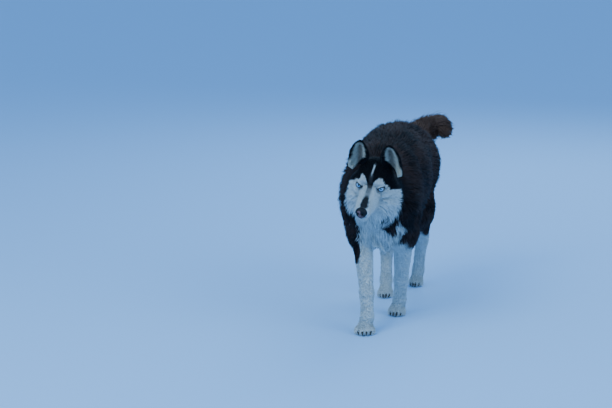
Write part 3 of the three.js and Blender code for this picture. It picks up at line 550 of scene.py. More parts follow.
def chart(p, kind):
    """Place on the unwrap for points of one kind of surface, and the width of that chart's full turn."""
    if kind == "head":
        q = to_head(p) - [0, 20, -20]
        angle = np.arctan2(q[:, 0], q[:, 2])
        along = np.arctan2(np.hypot(q[:, 0], q[:, 2]), -q[:, 1]) / math.pi
        return np.stack([0.53 + 0.44 * (angle / (2 * math.pi) + 0.5), 0.02 + 0.42 * along], 1), 0.44
    if kind == "trunk":
        q = p - [0, 0, 430]
        angle = np.arctan2(q[:, 0], q[:, 2])
        along = (p[:, 1] + 420) / 760
        return np.stack([0.02 + 0.48 * (angle / (2 * math.pi) + 0.5), 0.02 + 0.66 * along], 1), 0.48
    if kind == "tail":
        q = p - [60, 380, 550]
        angle = np.arctan2(q[:, 0] * 0.6 - q[:, 1] * 0.5, q[:, 2])
        along = (p[:, 1] - 240 + 0.8 * p[:, 0]) / 330
        return np.stack([0.53 + 0.2 * (angle / (2 * math.pi) + 0.5), 0.48 + 0.2 * along], 1), 0.2
    leg = LEGS[kind]
    number = list(LEGS).index(kind)
    heights = [0, 52, leg["ankle"][2], leg["joint"][2], 420]
    top = leg.get("shoulder", leg.get("hip"))
    xs = [leg["at"][0], leg["pastern"][0], leg["ankle"][0], leg["joint"][0], top[0]]
    ys = [leg["at"][1], leg["pastern"][1], leg["ankle"][1], leg["joint"][1], top[1]]
    qx = p[:, 0] - np.interp(p[:, 2], heights, xs)
    qy = p[:, 1] - np.interp(p[:, 2], heights, ys)
    angle = np.arctan2(qx, qy)
    u = 0.02 + 0.245 * number + 0.22 * (angle / (2 * math.pi) + 0.5)
    return np.stack([u, 0.71 + 0.27 * p[:, 2] / 420], 1), 0.22


KINDS = ["head", "trunk", "tail", *LEGS]


def kind_of(p):
    """Which chart each point belongs to."""
    out = np.full(len(p), 1)
    out[(to_head(p)[:, 1] < 84) & (p[:, 2] > 345)] = 0
    out[(p[:, 1] > 290) & (p[:, 2] > 480)] = 2
    low_leg = p[:, 2] < 285
    for n, leg in enumerate(LEGS.values()):
        front = "shoulder" in leg
        mine = low_leg & ((p[:, 1] < 20) == front)
        if front:
            mine &= (p[:, 1] < -218) == (leg["side"] < 0)
        else:
            mine &= (p[:, 0] < 0) == (leg["side"] < 0)
        out[mine] = 3 + n
    return out


def unwrap(p, kinds, about=None):
    """Places on the unwrap; about gives each point's face centre, so that a face isn't torn across a seam."""
    uv = np.zeros((len(p), 2))
    for k, kind in enumerate(KINDS):
        mine = kinds == k
        if not mine.any():
            continue
        at, turn = chart(p[mine], kind)
        if about is not None:
            centre, _ = chart(about[mine], kind)
            at[:, 0] -= turn * np.round((at[:, 0] - centre[:, 0]) / turn)
        uv[mine] = at
    return uv

# Mesh making


def make_mesh(name, points, faces, uv=None, colours=None, smooth=True):
    """A mesh object in the row frame. faces is an array of triangles or quads, or a list of them."""
    mesh = bpy.data.meshes.new(name)
    groups = faces if isinstance(faces, list) else [faces]
    sizes = np.concatenate([np.full(len(g), g.shape[1]) for g in groups])
    loops = np.concatenate([g.ravel() for g in groups])
    mesh.vertices.add(len(points))
    mesh.vertices.foreach_set("co", to_row(points).astype(np.float32).ravel())
    mesh.loops.add(len(loops))
    mesh.loops.foreach_set("vertex_index", loops.astype(np.int32))
    mesh.polygons.add(len(sizes))
    starts = np.concatenate([[0], np.cumsum(sizes)[:-1]])
    mesh.polygons.foreach_set("loop_start", starts.astype(np.int32))
    mesh.polygons.foreach_set("use_smooth", np.full(len(sizes), smooth))
    if uv is not None:
        layer = mesh.uv_layers.new(name="OFBake")
        layer.data.foreach_set("uv", uv.astype(np.float32).ravel())
    if colours is not None:
        layer = mesh.color_attributes.new("Coat", "FLOAT_COLOR", "POINT")
        rgba = np.ones((len(points), 4), np.float32)
        rgba[:, :3] = colours
        layer.data.foreach_set("color", rgba.ravel())
    mesh.update(calc_edges=True)
    mesh.validate()
    obj = bpy.data.objects.new(name, mesh)
    bpy.context.scene.collection.objects.link(obj)
    return obj


def joined(parts):
    """Parts, each of points, faces, colours and corner uv, made one."""
    counts = [len(part[0]) for part in parts]
    starts = np.cumsum([0] + counts[:-1])
    points, faces, colours, uv = (list(column) for column in zip(*parts))
    faces = [f + start for f, start in zip(faces, starts)]
    return np.concatenate(points), np.concatenate(faces), np.concatenate(uv), np.concatenate(colours)


def normals_of(points, faces):
    n = np.zeros_like(points)
    a, b, c = points[faces[:, 0]], points[faces[:, 1]], points[faces[:, 2]]
    face = np.cross(b - a, c - a)
    if faces.shape[1] == 4:
        face = face + np.cross(c - a, points[faces[:, 3]] - a)
    for i in range(faces.shape[1]):
        np.add.at(n, faces[:, i], face)
    return n / np.maximum(np.linalg.norm(n, axis=1, keepdims=True), 1e-9)


def unit(v):
    return v / np.maximum(np.linalg.norm(v, axis=1, keepdims=True), 1e-9)


def ring_quads(rings, sides):
    """Quads between closed rings of points that follow one another."""
    ring, i = np.meshgrid(np.arange(rings - 1), np.arange(sides), indexing="ij")
    a, b = (ring * sides + i).ravel(), (ring * sides + (i + 1) % sides).ravel()
    return np.stack([a, b, b + sides, a + sides], 1)


def closed_faces(rings, sides, flip=False):
    """Quads between rings, and fans to the two end points that come after them."""
    quads = ring_quads(rings, sides)
    i = np.arange(sides)
    j, last, end = (i + 1) % sides, (rings - 1) * sides, np.full(sides, rings * sides)
    fans = np.concatenate([np.stack([j, i, end], 1), np.stack([last + i, last + j, end + 1], 1)])
    if flip:
        return quads[:, [0, 3, 2, 1]], fans[:, [1, 0, 2]]
    return quads, fans

# Materials


def nodes_of(name):
    material = bpy.data.materials.new(name)
    material.use_nodes = True
    tree = material.node_tree
    return material, tree, tree.nodes["Principled BSDF"]


def add(tree, kind, inputs=None, **options):
    node = tree.nodes.new(kind)
    for key, value in options.items():
        setattr(node, key, value)
    for key, value in (inputs or {}).items():
        if isinstance(value, bpy.types.NodeSocket):
            tree.links.new(value, node.inputs[key])
        else:
            node.inputs[key].default_value = value
    return node


def coat_material(name, roughness, fine, bump):
    """Hair in the colours of the Coat attribute, with fine streaks in tone and bump."""
    material, tree, shader = nodes_of(name)
    colour = add(tree, "ShaderNodeAttribute", attribute_name="Coat")
    where = add(tree, "ShaderNodeTexCoord")
    streaks = add(tree, "ShaderNodeTexNoise",
                  {"Vector": where.outputs["Object"], "Scale": fine, "Detail": 4.0, "Roughness": 0.6})
    tone = add(tree, "ShaderNodeMapRange", {"Value": streaks.outputs["Fac"], "From Min": 0.3, "From Max": 0.7,
                                           "To Min": 0.78, "To Max": 1.16})
    mixed = add(tree, "ShaderNodeVectorMath", {0: colour.outputs["Color"], 1: tone.outputs["Result"]},
                operation="MULTIPLY")
    tree.links.new(mixed.outputs["Vector"], shader.inputs["Base Color"])
    relief = add(tree, "ShaderNodeBump",
                 {"Height": streaks.outputs["Fac"], "Strength": bump, "Distance": 0.0015})
    tree.links.new(relief.outputs["Normal"], shader.inputs["Normal"])
    shader.inputs["Roughness"].default_value = roughness
    shader.inputs["Specular IOR Level"].default_value = 0.06
    return material


def coat_coloured(name, roughness):
    """A smooth material in the colours of the Coat attribute."""
    material, tree, shader = nodes_of(name)
    colour = add(tree, "ShaderNodeAttribute", attribute_name="Coat")
    tree.links.new(colour.outputs["Color"], shader.inputs["Base Color"])
    shader.inputs["Roughness"].default_value = roughness
    shader.inputs["Specular IOR Level"].default_value = 0.2
    return material, tree, shader


def grained(name, scale, detail, low, high, roughness):
    """A material whose tone wanders with a noise between two stops, each a place on the ramp and a colour."""
    material, tree, shader = nodes_of(name)
    where = add(tree, "ShaderNodeTexCoord")
    grain = add(tree, "ShaderNodeTexNoise",
                {"Vector": where.outputs["Object"], "Scale": scale, "Detail": detail})
    ramp = add(tree, "ShaderNodeValToRGB", {"Fac": grain.outputs["Fac"]})
    for stop, (place, colour) in zip(ramp.color_ramp.elements, (low, high)):
        stop.position, stop.color = place, colour
    tree.links.new(ramp.outputs["Color"], shader.inputs["Base Color"])
    shader.inputs["Roughness"].default_value = roughness
    return material


FUR = coat_material("coat_hair", 0.62, 420.0, 0.25)
SKIN = coat_material("coat_skin", 0.85, 650.0, 0.6)


def finish_piece(obj, material, replaced=()):
    obj.data.materials.clear()
    obj.data.materials.append(material)
    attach(obj, "root")
    if replaced:
        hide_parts(*replaced)


# Skin

FLOOR = 1.2  # the soles lie this far above the floor
PAINTED_SKIN_SHADE = 0.88  # painted shade: the skin between the tufts is made a little darker than the hair over it


def body_field(p):
    return np.maximum(skin_field(p), FLOOR - p[:, 2])


BODY_GRID = Grid([-235, -560, -20], [265, 500, 700], 6.0, skin_field)
HEAD_GRID = Grid([-128, -560, 345], [118, -330, 590], 2.6, skin_field)

# Where the fine skin of the head ends, along the head's own y. The body's overlaps it a little
HEAD_END = 70.0
PAW_TOP = 50


def is_body(c):
    return ((to_head(c)[:, 1] > HEAD_END - 14) | (c[:, 2] < HEAD_LOW + 12)) & (c[:, 2] > PAW_TOP)


def is_head(c):
    return (to_head(c)[:, 1] < HEAD_END) & (c[:, 2] > HEAD_LOW)


skin_parts = [nets(BODY_GRID, skin_field, is_body), nets(HEAD_GRID, skin_field, is_head)]
for leg in LEGS.values():
    x, y = leg["at"]
    grid = Grid([x - 52, y - 72, -5], [x + 52, y + 72, 66], 3.0, body_field)
    skin_parts.append(nets(grid, body_field, lambda c: c[:, 2] < PAW_TOP + 8))


# Ears

EAR = dict(base=[56, 57, 48], tip=[49, 46, 140], half=40, cup=21, thickness=4.4, edge=1.2, sunk=0.2)
EAR_ROWS, EAR_COLUMNS = 30, 16


def ear_point(side, v, u, face):
    """A point of the ear: v from base to tip, u across from -1 to 1, face 0 inside and 1 on the back."""
    up = np.clip(v, 0, 1)
    base, tip = np.array(EAR["base"], float), np.array(EAR["tip"], float)
    middle = base + (tip - base) * v[:, None]
    k = np.clip(up * 1.6, 0, 1)[:, None]
    across = unit(np.array([0.82, 0.13, -0.55]) * (1 - k) + np.array([0.98, 0.1, -0.12]) * k)
    half = EAR["half"] * (1 - up) ** 0.62 * (1 + 0.42 * up) * (1 + np.minimum(v, 0) * 2.4)
    cup = EAR["cup"] * (1 - up) ** 0.7
    thick = EAR["thickness"] * (0.45 + 0.55 * (1 - up))
    depth = cup * (1 - u * u) + face * (thick * np.sqrt(np.maximum(1 - u * u, 0)) + EAR["edge"])
    q = middle + across * (u * half)[:, None] + np.stack([0 * v, depth - EAR["cup"] * 0.5, 0 * v], 1)
    return on_head(q * [side, 1, 1])


def ear_colour(v, u, face):
    """Black back and rim; pale inside with a brown-grey middle; dark at the base inside, partly the cap's
    black hair and partly painted shade.
    """
    rim_starts = 0.84 + 0.3 * (u > 0) * (1 - step(v, 0.18, 0.3))
    rim = np.maximum(step(np.abs(u), rim_starts, 0.16), step(v, 0.88, 0.1))
    colour = plain(EAR_CREAM, len(v))
    spotty = 0.5 + 0.5 * noise(np.stack([u * 30, v * 90, 0 * v], 1), 8, 31)
    middle = (1 - step(np.abs(u + 0.1), 0.42, 0.5)) * step(-v, -0.80, 0.3)
    colour = blend(colour, EAR_MIDDLE, middle * (0.45 + 0.5 * spotty))
    # The dark base inside the ear: partly the black hair of the cap in front of it, partly painted shade where
    # the ear meets the skull
    base_ends = np.interp(u, [-1, -0.5, 0, 1], [0.12, -0.02, -0.12, -0.2]) - 0.03 * spotty
    base = 1 - step(v - base_ends, 0, 0.05)
    return blend(colour, BLACK, np.maximum(np.maximum(rim, base), face))


def ear_uv(side, v, u, face):
    base = 0.76 if side < 0 else 0.88
    return np.stack([base + 0.05 * (u * 0.5 + 0.5) + 0.055 * face, 0.48 + 0.2 * (v + 0.2) / 1.2], 1)


def ear_shell(side):
    """The ear's leaf: rings of inside and back points, closed at both ends."""
    u = np.linspace(-1, 1, EAR_COLUMNS + 1)
    ring_u = np.concatenate([u, u[::-1]])
    ring_face = np.concatenate([np.zeros(len(u)), np.ones(len(u))])
    count = len(ring_u)
    rows = np.linspace(-EAR["sunk"], 0.985, EAR_ROWS + 1)
    v = np.repeat(rows, count)
    us, fs = np.tile(ring_u, len(rows)), np.tile(ring_face, len(rows))
    points = ear_point(side, v, us, fs)
    ends = []
    for r, flip in ((0, True), (EAR_ROWS, False)):
        for i in range(EAR_COLUMNS):
            quad = [r * count + n for n in (i, i + 1, count - 2 - i, count - 1 - i)]
            ends.append(quad[::-1] if flip else quad)
    faces = np.vstack([ring_quads(len(rows), count), ends])
    if side < 0:
        faces = faces[:, ::-1]
    return points, faces, ear_colour(v, us, fs), ear_uv(side, v, us, fs)

# Lids


def lids(side):
    """A ring of skin from the rim of the eye's almond outwards, on a ball a little larger than the eye."""
    turn = eye_turn(side)
    count = 56
    angle = np.linspace(0, 2 * math.pi, count, endpoint=False)
    c, s = np.cos(angle), np.sin(angle)
    x = c * OPENING["half"]
    z = np.sign(s) * np.abs(s) ** OPENING["power"] * np.where(s > 0, OPENING["up"], OPENING["down"])
    rings = [(1.0, 0.15), (1.02, 0.9), (1.08, 1.3), (1.19, 1.25), (1.3, 0.3), (1.5, -2.4)]
    points, colours = [], []
    for scale, out in rings:
        r = EYE_RADIUS + out
        px, pz = x * scale, z * (scale * 1.05 + (scale - 1) * 0.55)
        reach = np.sqrt(px ** 2 + pz ** 2)
        py = -np.sqrt(np.maximum(r * r - reach ** 2, 0)) + np.maximum(reach - r, 0) * 0.6
        q = np.stack([px, py, pz], 1) @ turn.T + eye_centre(side)
        points.append(on_head(q))
        # Painted shade: the lid skin beyond the dark rim is darker than the coat there
        colours.append(plain(EYE_RIM, count) if scale < 1.25 else 0.8 * coat_colour(points[-1]))
    points = np.concatenate(points)
    faces = ring_quads(len(rings), count)[:, [0, 3, 2, 1]]
    if (normals_of(points, faces)[: count] @ (HEAD_TURN @ np.array([0, -1, 0]))).mean() < 0:
        faces = faces[:, ::-1]
    h = to_head(points)
    round_eye = np.arctan2(h[:, 2], h[:, 0] - eye_centre(side)[0])
    uv = np.stack([0.9 + 0.03 * np.cos(round_eye) + 0.04 * side, 0.72 + 0.02 * np.sin(round_eye)], 1)
    return points, faces, np.concatenate(colours), uv


# One skin

parts = []
for points, quads in skin_parts:
    centre = points[quads].mean(1)
    uv = unwrap(points[quads.ravel()], np.repeat(kind_of(centre), 4), np.repeat(centre, 4, axis=0))
    # Painted shade: the skin is darker than the coat's colour at the same place
    parts.append((points, quads, coat_colour(points) * PAINTED_SKIN_SHADE, uv))
for side in (-1, 1):
    for points, faces, colours, uv in (ear_shell(side), lids(side)):
        parts.append((points, faces, colours, uv[faces.ravel()]))
skin = make_mesh("skin", *joined(parts))
FLESH = ["head", "muzzle", "neck", "torso", "tail", "tail_tip", "ear_right", "ear_left"]
for name in LEGS:
    FLESH += [f"{name}_upper", f"{name}_lower", f"paw_{name}"]
finish_piece(skin, SKIN, FLESH)

# Coat

rng = np.random.default_rng(20)


def looks_at(p):
    """The coat's depth, length, width and density and the lie of the hair at points near the skin."""
    h = to_head(p)
    total = np.zeros(len(p))
    values = np.zeros((len(p), 4))
    lie = np.zeros((len(p), 3))
    for m in masses:
        w = np.exp(-np.maximum(mass_distance(m, h if m["head"] else p), -6) / 7.0)
        total += w
        values += w[:, None] * np.array(STYLES[m["style"]])
        direction = unit(m["lie"][None])[0]
        lie += w[:, None] * (HEAD_TURN @ direction if m["head"] else direction)
    return values / total[:, None], lie / total[:, None]


def roots_on(points, quads):
    """Random roots on a quad mesh, by the density of the coat there."""
    triangles = np.concatenate([quads[:, [0, 1, 2]], quads[:, [0, 2, 3]]])
    a, b, c = (points[triangles[:, n]] for n in range(3))
    area = np.linalg.norm(np.cross(b - a, c - a), axis=1) / 2
    values, _ = looks_at((a + b + c) / 3)
    expect = area * values[:, DENSITY]
    count = rng.poisson(expect)
    pick = np.repeat(np.arange(len(triangles)), count)
    r1, r2 = np.sqrt(rng.random(len(pick))), rng.random(len(pick))
    p = (1 - r1)[:, None] * a[pick] + (r1 * (1 - r2))[:, None] * b[pick] + (r1 * r2)[:, None] * c[pick]
    n = unit(np.cross(b - a, c - a))[pick]
    return p, n


SOLE = 3.0
BARE_RIM = 1.22  # no hair grows this near the eye, counted as almond does


def kept(p):
    """Leaves out roots on the eyes' rims, on the nose and on the soles."""
    h = to_head(p)
    ok = p[:, 2] > SOLE
    for side in (-1, 1):
        ok &= almond(h, side) > BARE_RIM
    ok &= (((h - NOSE["at"]) / (np.array(NOSE["radii"]) * 1.04)) ** 2).sum(1) > 1
    return ok


# Rings of a tuft: how far along it, how much of its depth it has risen, and how wide it is
SHORT = ((0.0, 0.0, 0.95), (0.5, 0.62, 0.85))
LONG = ((0.0, 0.0, 0.8), (0.36, 0.45, 1.0), (0.72, 0.82, 0.66))
PATCH = 0.0015  # half the width of a tuft's place on the unwrap
LOWEST = 0.4
SUNK = 1.2
CLUMP = 14  # tufts to a clump


def tufts_through(centres, tip, normal, width, wides, colour, tip_colour, uv):
    """Closed tufts of three sides through given centres. Returns points, triangles, colours and corner uv."""
    count, rings = len(tip), len(centres)
    line = centres + [tip]
    points = np.zeros((count, rings * 3 + 1, 3))
    colours = np.zeros_like(points)
    patch = np.zeros((rings * 3 + 1, 2))
    for n in range(rings):
        forward = unit(line[n + 1] - line[n])
        across = unit(np.cross(forward, normal))
        out = np.cross(across, forward)
        w = (width * wides[n])[:, None]
        points[:, 3 * n] = line[n] + across * w / 2
        points[:, 3 * n + 1] = line[n] + out * w * 0.36
        points[:, 3 * n + 2] = line[n] - across * w / 2
        for k in range(3):
            colours[:, 3 * n + k] = colour + (tip_colour - colour) * n / rings
            turn = 2 * math.pi * k / 3
            reach = PATCH * (1 - 0.8 * n / rings)
            patch[3 * n + k] = [reach * math.cos(turn), reach * math.sin(turn)]
    points[:, -1] = tip
    points[:, :, 2] = np.maximum(points[:, :, 2], LOWEST)
    colours[:, -1] = tip_colour
    triangles = [[2, 1, 0]]
    for n in range(rings - 1):
        for k in range(3):
            a, b = 3 * n + k, 3 * n + (k + 1) % 3
            triangles += [[a, b, b + 3], [a, b + 3, a + 3]]
    for k in range(3):
        triangles.append([3 * (rings - 1) + k, 3 * (rings - 1) + (k + 1) % 3, 3 * rings])
    triangles = np.array(triangles)
    size = points.shape[1]
    faces = (triangles[None] + (np.arange(count) * size)[:, None, None]).reshape(-1, 3)
    corner_uv = (uv[:, None, :] + patch[triangles.ravel()][None]).reshape(-1, 2)
    return points.reshape(-1, 3), faces, colours.reshape(-1, 3), corner_uv


def tuft_lines(root, normal, flow, length, depth, stations, grid, clump):
    """Centres of tufts that lie along the flow and rise to their depth, their tips drawn into clumps."""
    centres = [root - normal * SUNK]
    for along, high, _ in stations[1:]:
        centres.append(grid.lifted(root + flow * (length * along)[:, None], depth * high))
    tip = grid.lifted(root + flow * length[:, None], depth)
    if clump > 0:
        guides = rng.choice(len(root), max(1, len(root) // CLUMP), replace=False)
        tree = kdtree.KDTree(len(guides))
        for n, g in enumerate(guides):
            tree.insert(root[g], n)
        tree.balance()
        mine = guides[np.array([tree.find(r)[1] for r in root])]
        pull = clump * rng.uniform(0.5, 1.1, len(root))
        drawn = (tip[mine] + (root - root[mine]) * 0.2 - tip) * pull[:, None]
        tip = tip + drawn
        for n, (along, _, _) in enumerate(stations):
            centres[n] = centres[n] + drawn * along ** 1.6
    return centres, tip


def brush_lie(root):
    """The tail's brush fans out from the tail's line and lies towards its tip."""
    steps = tail_at(np.linspace(0, 1, 60))
    place = np.argmin(((root[:, None] - steps[None]) ** 2).sum(2), axis=1)
    ahead = unit(steps[np.minimum(place + 1, 59)] - steps[np.maximum(place - 1, 0)])
    return ahead + 0.95 * unit(root - steps[place])


def tuft_colours(root, colour, depth):
    """Colours of the tufts at base and tip: each its own tone, darker at the base as painted shade deep in the
    coat, and some dark ones with rusty tips.
    """
    spread = np.clip(depth / 30, 0.3, 1)[:, None]
    tone = 1 + spread * rng.uniform(-0.18, 0.16, (len(root), 1)) + 0.08 * noise(root, 14, 14)[:, None]
    bright = colour.mean(1, keepdims=True)
    # Painted shade: a tuft is darker at its base, deep in the coat, than at its tip
    base = colour * tone * np.where(bright > 0.3, 0.94 - 0.14 * spread, 0.9)
    tip = colour * tone * np.where(bright > 0.3, 1.04, 1.15)
    rusty = (rng.random(len(root)) < 0.3) & (root[:, 1] > -230) & (bright[:, 0] < 0.2)
    tip[rusty] = tip[rusty] * 0.4 + np.array(RED_BROWN) * 0.7
    return base, np.clip(tip, 0, 0.86)


MOST_TRIANGLES = 190000  # in one piece of the coat
triangle_count = {}


def coat_group(name, root, normal, stations, grid, clump):
    """Makes the coat over one set of roots, in pieces under the triangle limit, and counts its triangles."""
    values, lie = looks_at(root)
    depth, length, width = values[:, DEPTH], values[:, LENGTH], values[:, WIDTH]
    tail = on_tail(root)
    if tail.any():
        lie[tail] = brush_lie(root[tail])
    wander = np.stack([noise(root, 34, 11), noise(root, 34, 12), noise(root, 34, 13)], 1)
    fine = rng.normal(size=root.shape)
    loose = np.clip(values[:, DEPTH] / 25, 0.35, 1)[:, None]
    lie = unit(lie) + loose * (0.22 * wander + 0.14 * fine)
    flow = unit(lie - normal * (lie * normal).sum(1)[:, None])
    length = length * rng.uniform(0.72, 1.12, len(root))
    depth = depth * rng.uniform(0.55, 1.08, len(root))
    width = width * rng.uniform(0.75, 1.2, len(root))
    # Guard hairs: a few finer tufts stand above the rest, more of them on the tail
    depth[tail] *= rng.uniform(0.6, 1.25, tail.sum())
    guard = rng.random(len(root)) < np.where(tail, 0.18, 0.16)
    # those on the flanks stay low, so that the coat is no wider than the solids
    depth[guard] *= np.where(tail, 1.2, 1.32 - 0.3 * np.abs(normal[:, 0]))[guard]
    length[guard] *= 1.12
    width[guard] *= np.where(tail, 0.8, 0.6)[guard]
    # Hair is shortest round the eyes
    h = to_head(root)
    close = np.clip((np.minimum(almond(h, -1), almond(h, 1)) - 1.1) / 1.5, 0.34, 1)
    length *= close
    depth *= close
    width *= 0.6 + 0.4 * close
    # What shows of a tuft is its outer part, so its colour is that of the place under it
    seen = root + flow * (length * np.where(values[:, DEPTH] > 12, 0.8, 0.6))[:, None]
    base, tip = tuft_colours(root, coat_colour(seen), values[:, DEPTH])
    uv = unwrap(root, kind_of(root))
    per_tuft = 4 + 6 * (len(stations) - 1)
    limit = MOST_TRIANGLES // per_tuft
    order = np.argsort(root[:, 1], kind="stable")
    parts = max(1, math.ceil(len(root) / limit))
    triangle_count[name] = 0
    for n, chosen in enumerate(np.array_split(order, parts)):
        centres, ends = tuft_lines(root[chosen], normal[chosen], flow[chosen], length[chosen], depth[chosen],
                                   stations, grid, clump)
        points, faces, colours, corner_uv = tufts_through(
            centres, ends, normal[chosen], width[chosen], [s[2] for s in stations],
            base[chosen], tip[chosen], uv[chosen])
        piece = make_mesh(f"coat_{name}_{n + 1}" if parts > 1 else f"coat_{name}", points, faces, corner_uv,
                          colours)
        finish_piece(piece, FUR)
        triangle_count[name] += len(faces)


def rooted(part, lowest=SOLE):
    """Roots and normals of the hair on one part of the skin, above a height."""
    root, normal = roots_on(*part)
    ok = kept(root) & (root[:, 2] > lowest)
    return root[ok], normal[ok]


def deeper(root, depth):
    """Which roots stand where the coat is deeper than that."""
    values, _ = looks_at(root)
    return values[:, DEPTH] > depth


root, normal = rooted(skin_parts[0], PAW_TOP + 4)
is_long, is_tail = deeper(root, 13), on_tail(root)
for name, mine, slot, stations, clump in (("tail", is_long & is_tail, "fur_brown", LONG, 0.4),
                                          ("body", is_long & ~is_tail, "fur_dark", LONG, 0.45),
                                          ("legs", ~is_long, "fur_white", SHORT, 0.25)):
    coat_group(name, root[mine], normal[mine], stations, BODY_GRID, clump)
root, normal = rooted(skin_parts[1])
is_long = deeper(root, 11)
coat_group("cheeks", root[is_long], normal[is_long], LONG, BODY_GRID, 0.35)
coat_group("face", root[~is_long], normal[~is_long], SHORT, HEAD_GRID, 0.15)
root, normal = (np.concatenate(column) for column in zip(*[rooted(part, 6) for part in skin_parts[2:]]))
coat_group("paws", root, normal, SHORT, BODY_GRID, 0.0)


EAR_TUFTS = 2900


def ear_coat(side):
    """Short black hair on the back and rim, longer pale hair across the hollow."""
    out = []
    for face, length, width, rise in ((1.0, 10.0, 1.9, 2.4), (0.0, 15.0, 1.5, 3.2)):
        v = -0.18 + 1.15 * rng.random(EAR_TUFTS) ** 1.25
        u = rng.uniform(-1, 1, EAR_TUFTS)
        edge = rng.random(EAR_TUFTS) < 0.3
        u[edge] = np.sin(u[edge] * math.pi / 2)
        keep = rng.random(EAR_TUFTS) < (1 - np.clip(v, 0, 1)) ** 0.5 + 0.12
        v, u = v[keep], u[keep]
        f = np.full(len(v), face)
        root = ear_point(side, v, u, f)
        ahead = ear_point(side, v + 0.05, u * (1 if face else 0.86), f)
        beside = ear_point(side, v, np.clip(u + 0.05, -1, 1) - (u > 0.94) * 0.1, f)
        flow = unit(ahead - root)
        away = unit(np.cross(ahead - root, beside - root))
        outward = HEAD_TURN @ np.array([0.0, 1.0 if face else -1.0, 0.0])
        away[(away @ outward) < 0] *= -1
        flow = unit(flow + 0.14 * rng.normal(size=flow.shape))
        size = rng.uniform(0.7, 1.15, len(v)) * length * (1 - 0.45 * np.clip(v, 0, 1))
        w = rng.uniform(0.8, 1.2, len(v)) * width
        high = rise * rng.uniform(0.6, 1.1, len(v))
        centres = [root - away * 0.8, root + flow * (size * 0.5)[:, None] + away * (high * 0.7)[:, None]]
        tip = root + flow * size[:, None] + away * high[:, None]
        colour = ear_colour(v, u, f) * rng.uniform(0.8, 1.15, (len(v), 1))
        # Painted shade: each ear tuft is darker at its base than at its tip
        out.append(tufts_through(centres, tip, away, w, (0.95, 0.85), colour * 0.85, colour * 1.08,
                                 ear_uv(side, v, u, f)))
    return out


points, faces, uv, colours = joined(ear_coat(-1) + ear_coat(1))
finish_piece(make_mesh("coat_ears", points, faces, uv, np.clip(colours, 0, 0.8)), FUR)
triangle_count["ears"] = len(faces)

# Eyes


def eye(side, name):
    """A ball turned to look ahead: pupil, iris with rays, dark edge and white, as colours on its rings."""
    centre = on_head(eye_centre(side))
    gaze = HEAD_TURN @ np.array([0.16 * side, -1.0, 0.08])
    gaze = gaze * 0.55 + np.array([0.14, -0.97, 0.18]) * 0.45
    gaze = gaze / np.linalg.norm(gaze)
    across = np.cross(gaze, [0, 0, 1])
    across /= np.linalg.norm(across)
    up = np.cross(across, gaze)
    rings, sides = 64, 72
    polar = np.linspace(0, 1, rings + 1)[1:-1] ** 1.35 * math.pi
    turn = np.linspace(0, 2 * math.pi, sides, endpoint=False)
    a, t = np.meshgrid(polar, turn, indexing="ij")
    a, t = a.ravel(), t.ravel()
    bulge = 1 + 0.035 * np.exp(-(a / 0.42) ** 4)
    points = centre + EYE_RADIUS * (bulge * np.cos(a))[:, None] * gaze \
        + EYE_RADIUS * (bulge * np.sin(a))[:, None] * (np.cos(t)[:, None] * across + np.sin(t)[:, None] * up)
    points = np.vstack([points, centre + gaze * EYE_RADIUS * 1.035, centre - gaze * EYE_RADIUS])
    reach = np.append(np.sin(a) * EYE_RADIUS, [0.0, 20.0])
    reach[:-2][a > math.pi / 2] = 20
    around = np.append(t, [0, 0])
    rays = 0.5 + 0.5 * np.sin(around * 23 + 2 * np.sin(around * 5)) * np.sin(around * 9 + 1)
    pale = np.clip(0.15 + 0.5 * rays + 0.55 * (1 - (reach - 2.6) / 4), 0, 1)
    colour = blend(plain(IRIS, len(points)), IRIS_RAYS, pale)
    colour = blend(colour, IRIS_EDGE, step(reach, 6.3, 1.7))
    colour = blend(colour, EYE_WHITE, step(reach, 7.5, 0.7))
    colour = blend(colour, PUPIL, 1 - step(reach, 2.8, 0.5))
    obj = make_mesh(f"eyeball_{name}", points, list(closed_faces(rings - 1, sides, flip=True)), None, colour)
    finish_piece(obj, EYE, [f"eye_{name}"])


EYE, _, shader = coat_coloured("eye_glass", 0.06)
shader.inputs["Coat Weight"].default_value = 0.2
shader.inputs["Coat Roughness"].default_value = 0.02
eye(-1, "right")
eye(1, "left")

# Nose

# Pink patches of the nose: x, z, and half their width and height
PINK_BLOTS = ((-4.5, 8.5, 5.0, 4.2), (-1.0, -1.5, 4.0, 5.5), (-4.0, -8.5, 6.0, 3.5), (6.5, -7.0, 4.5, 3.5))


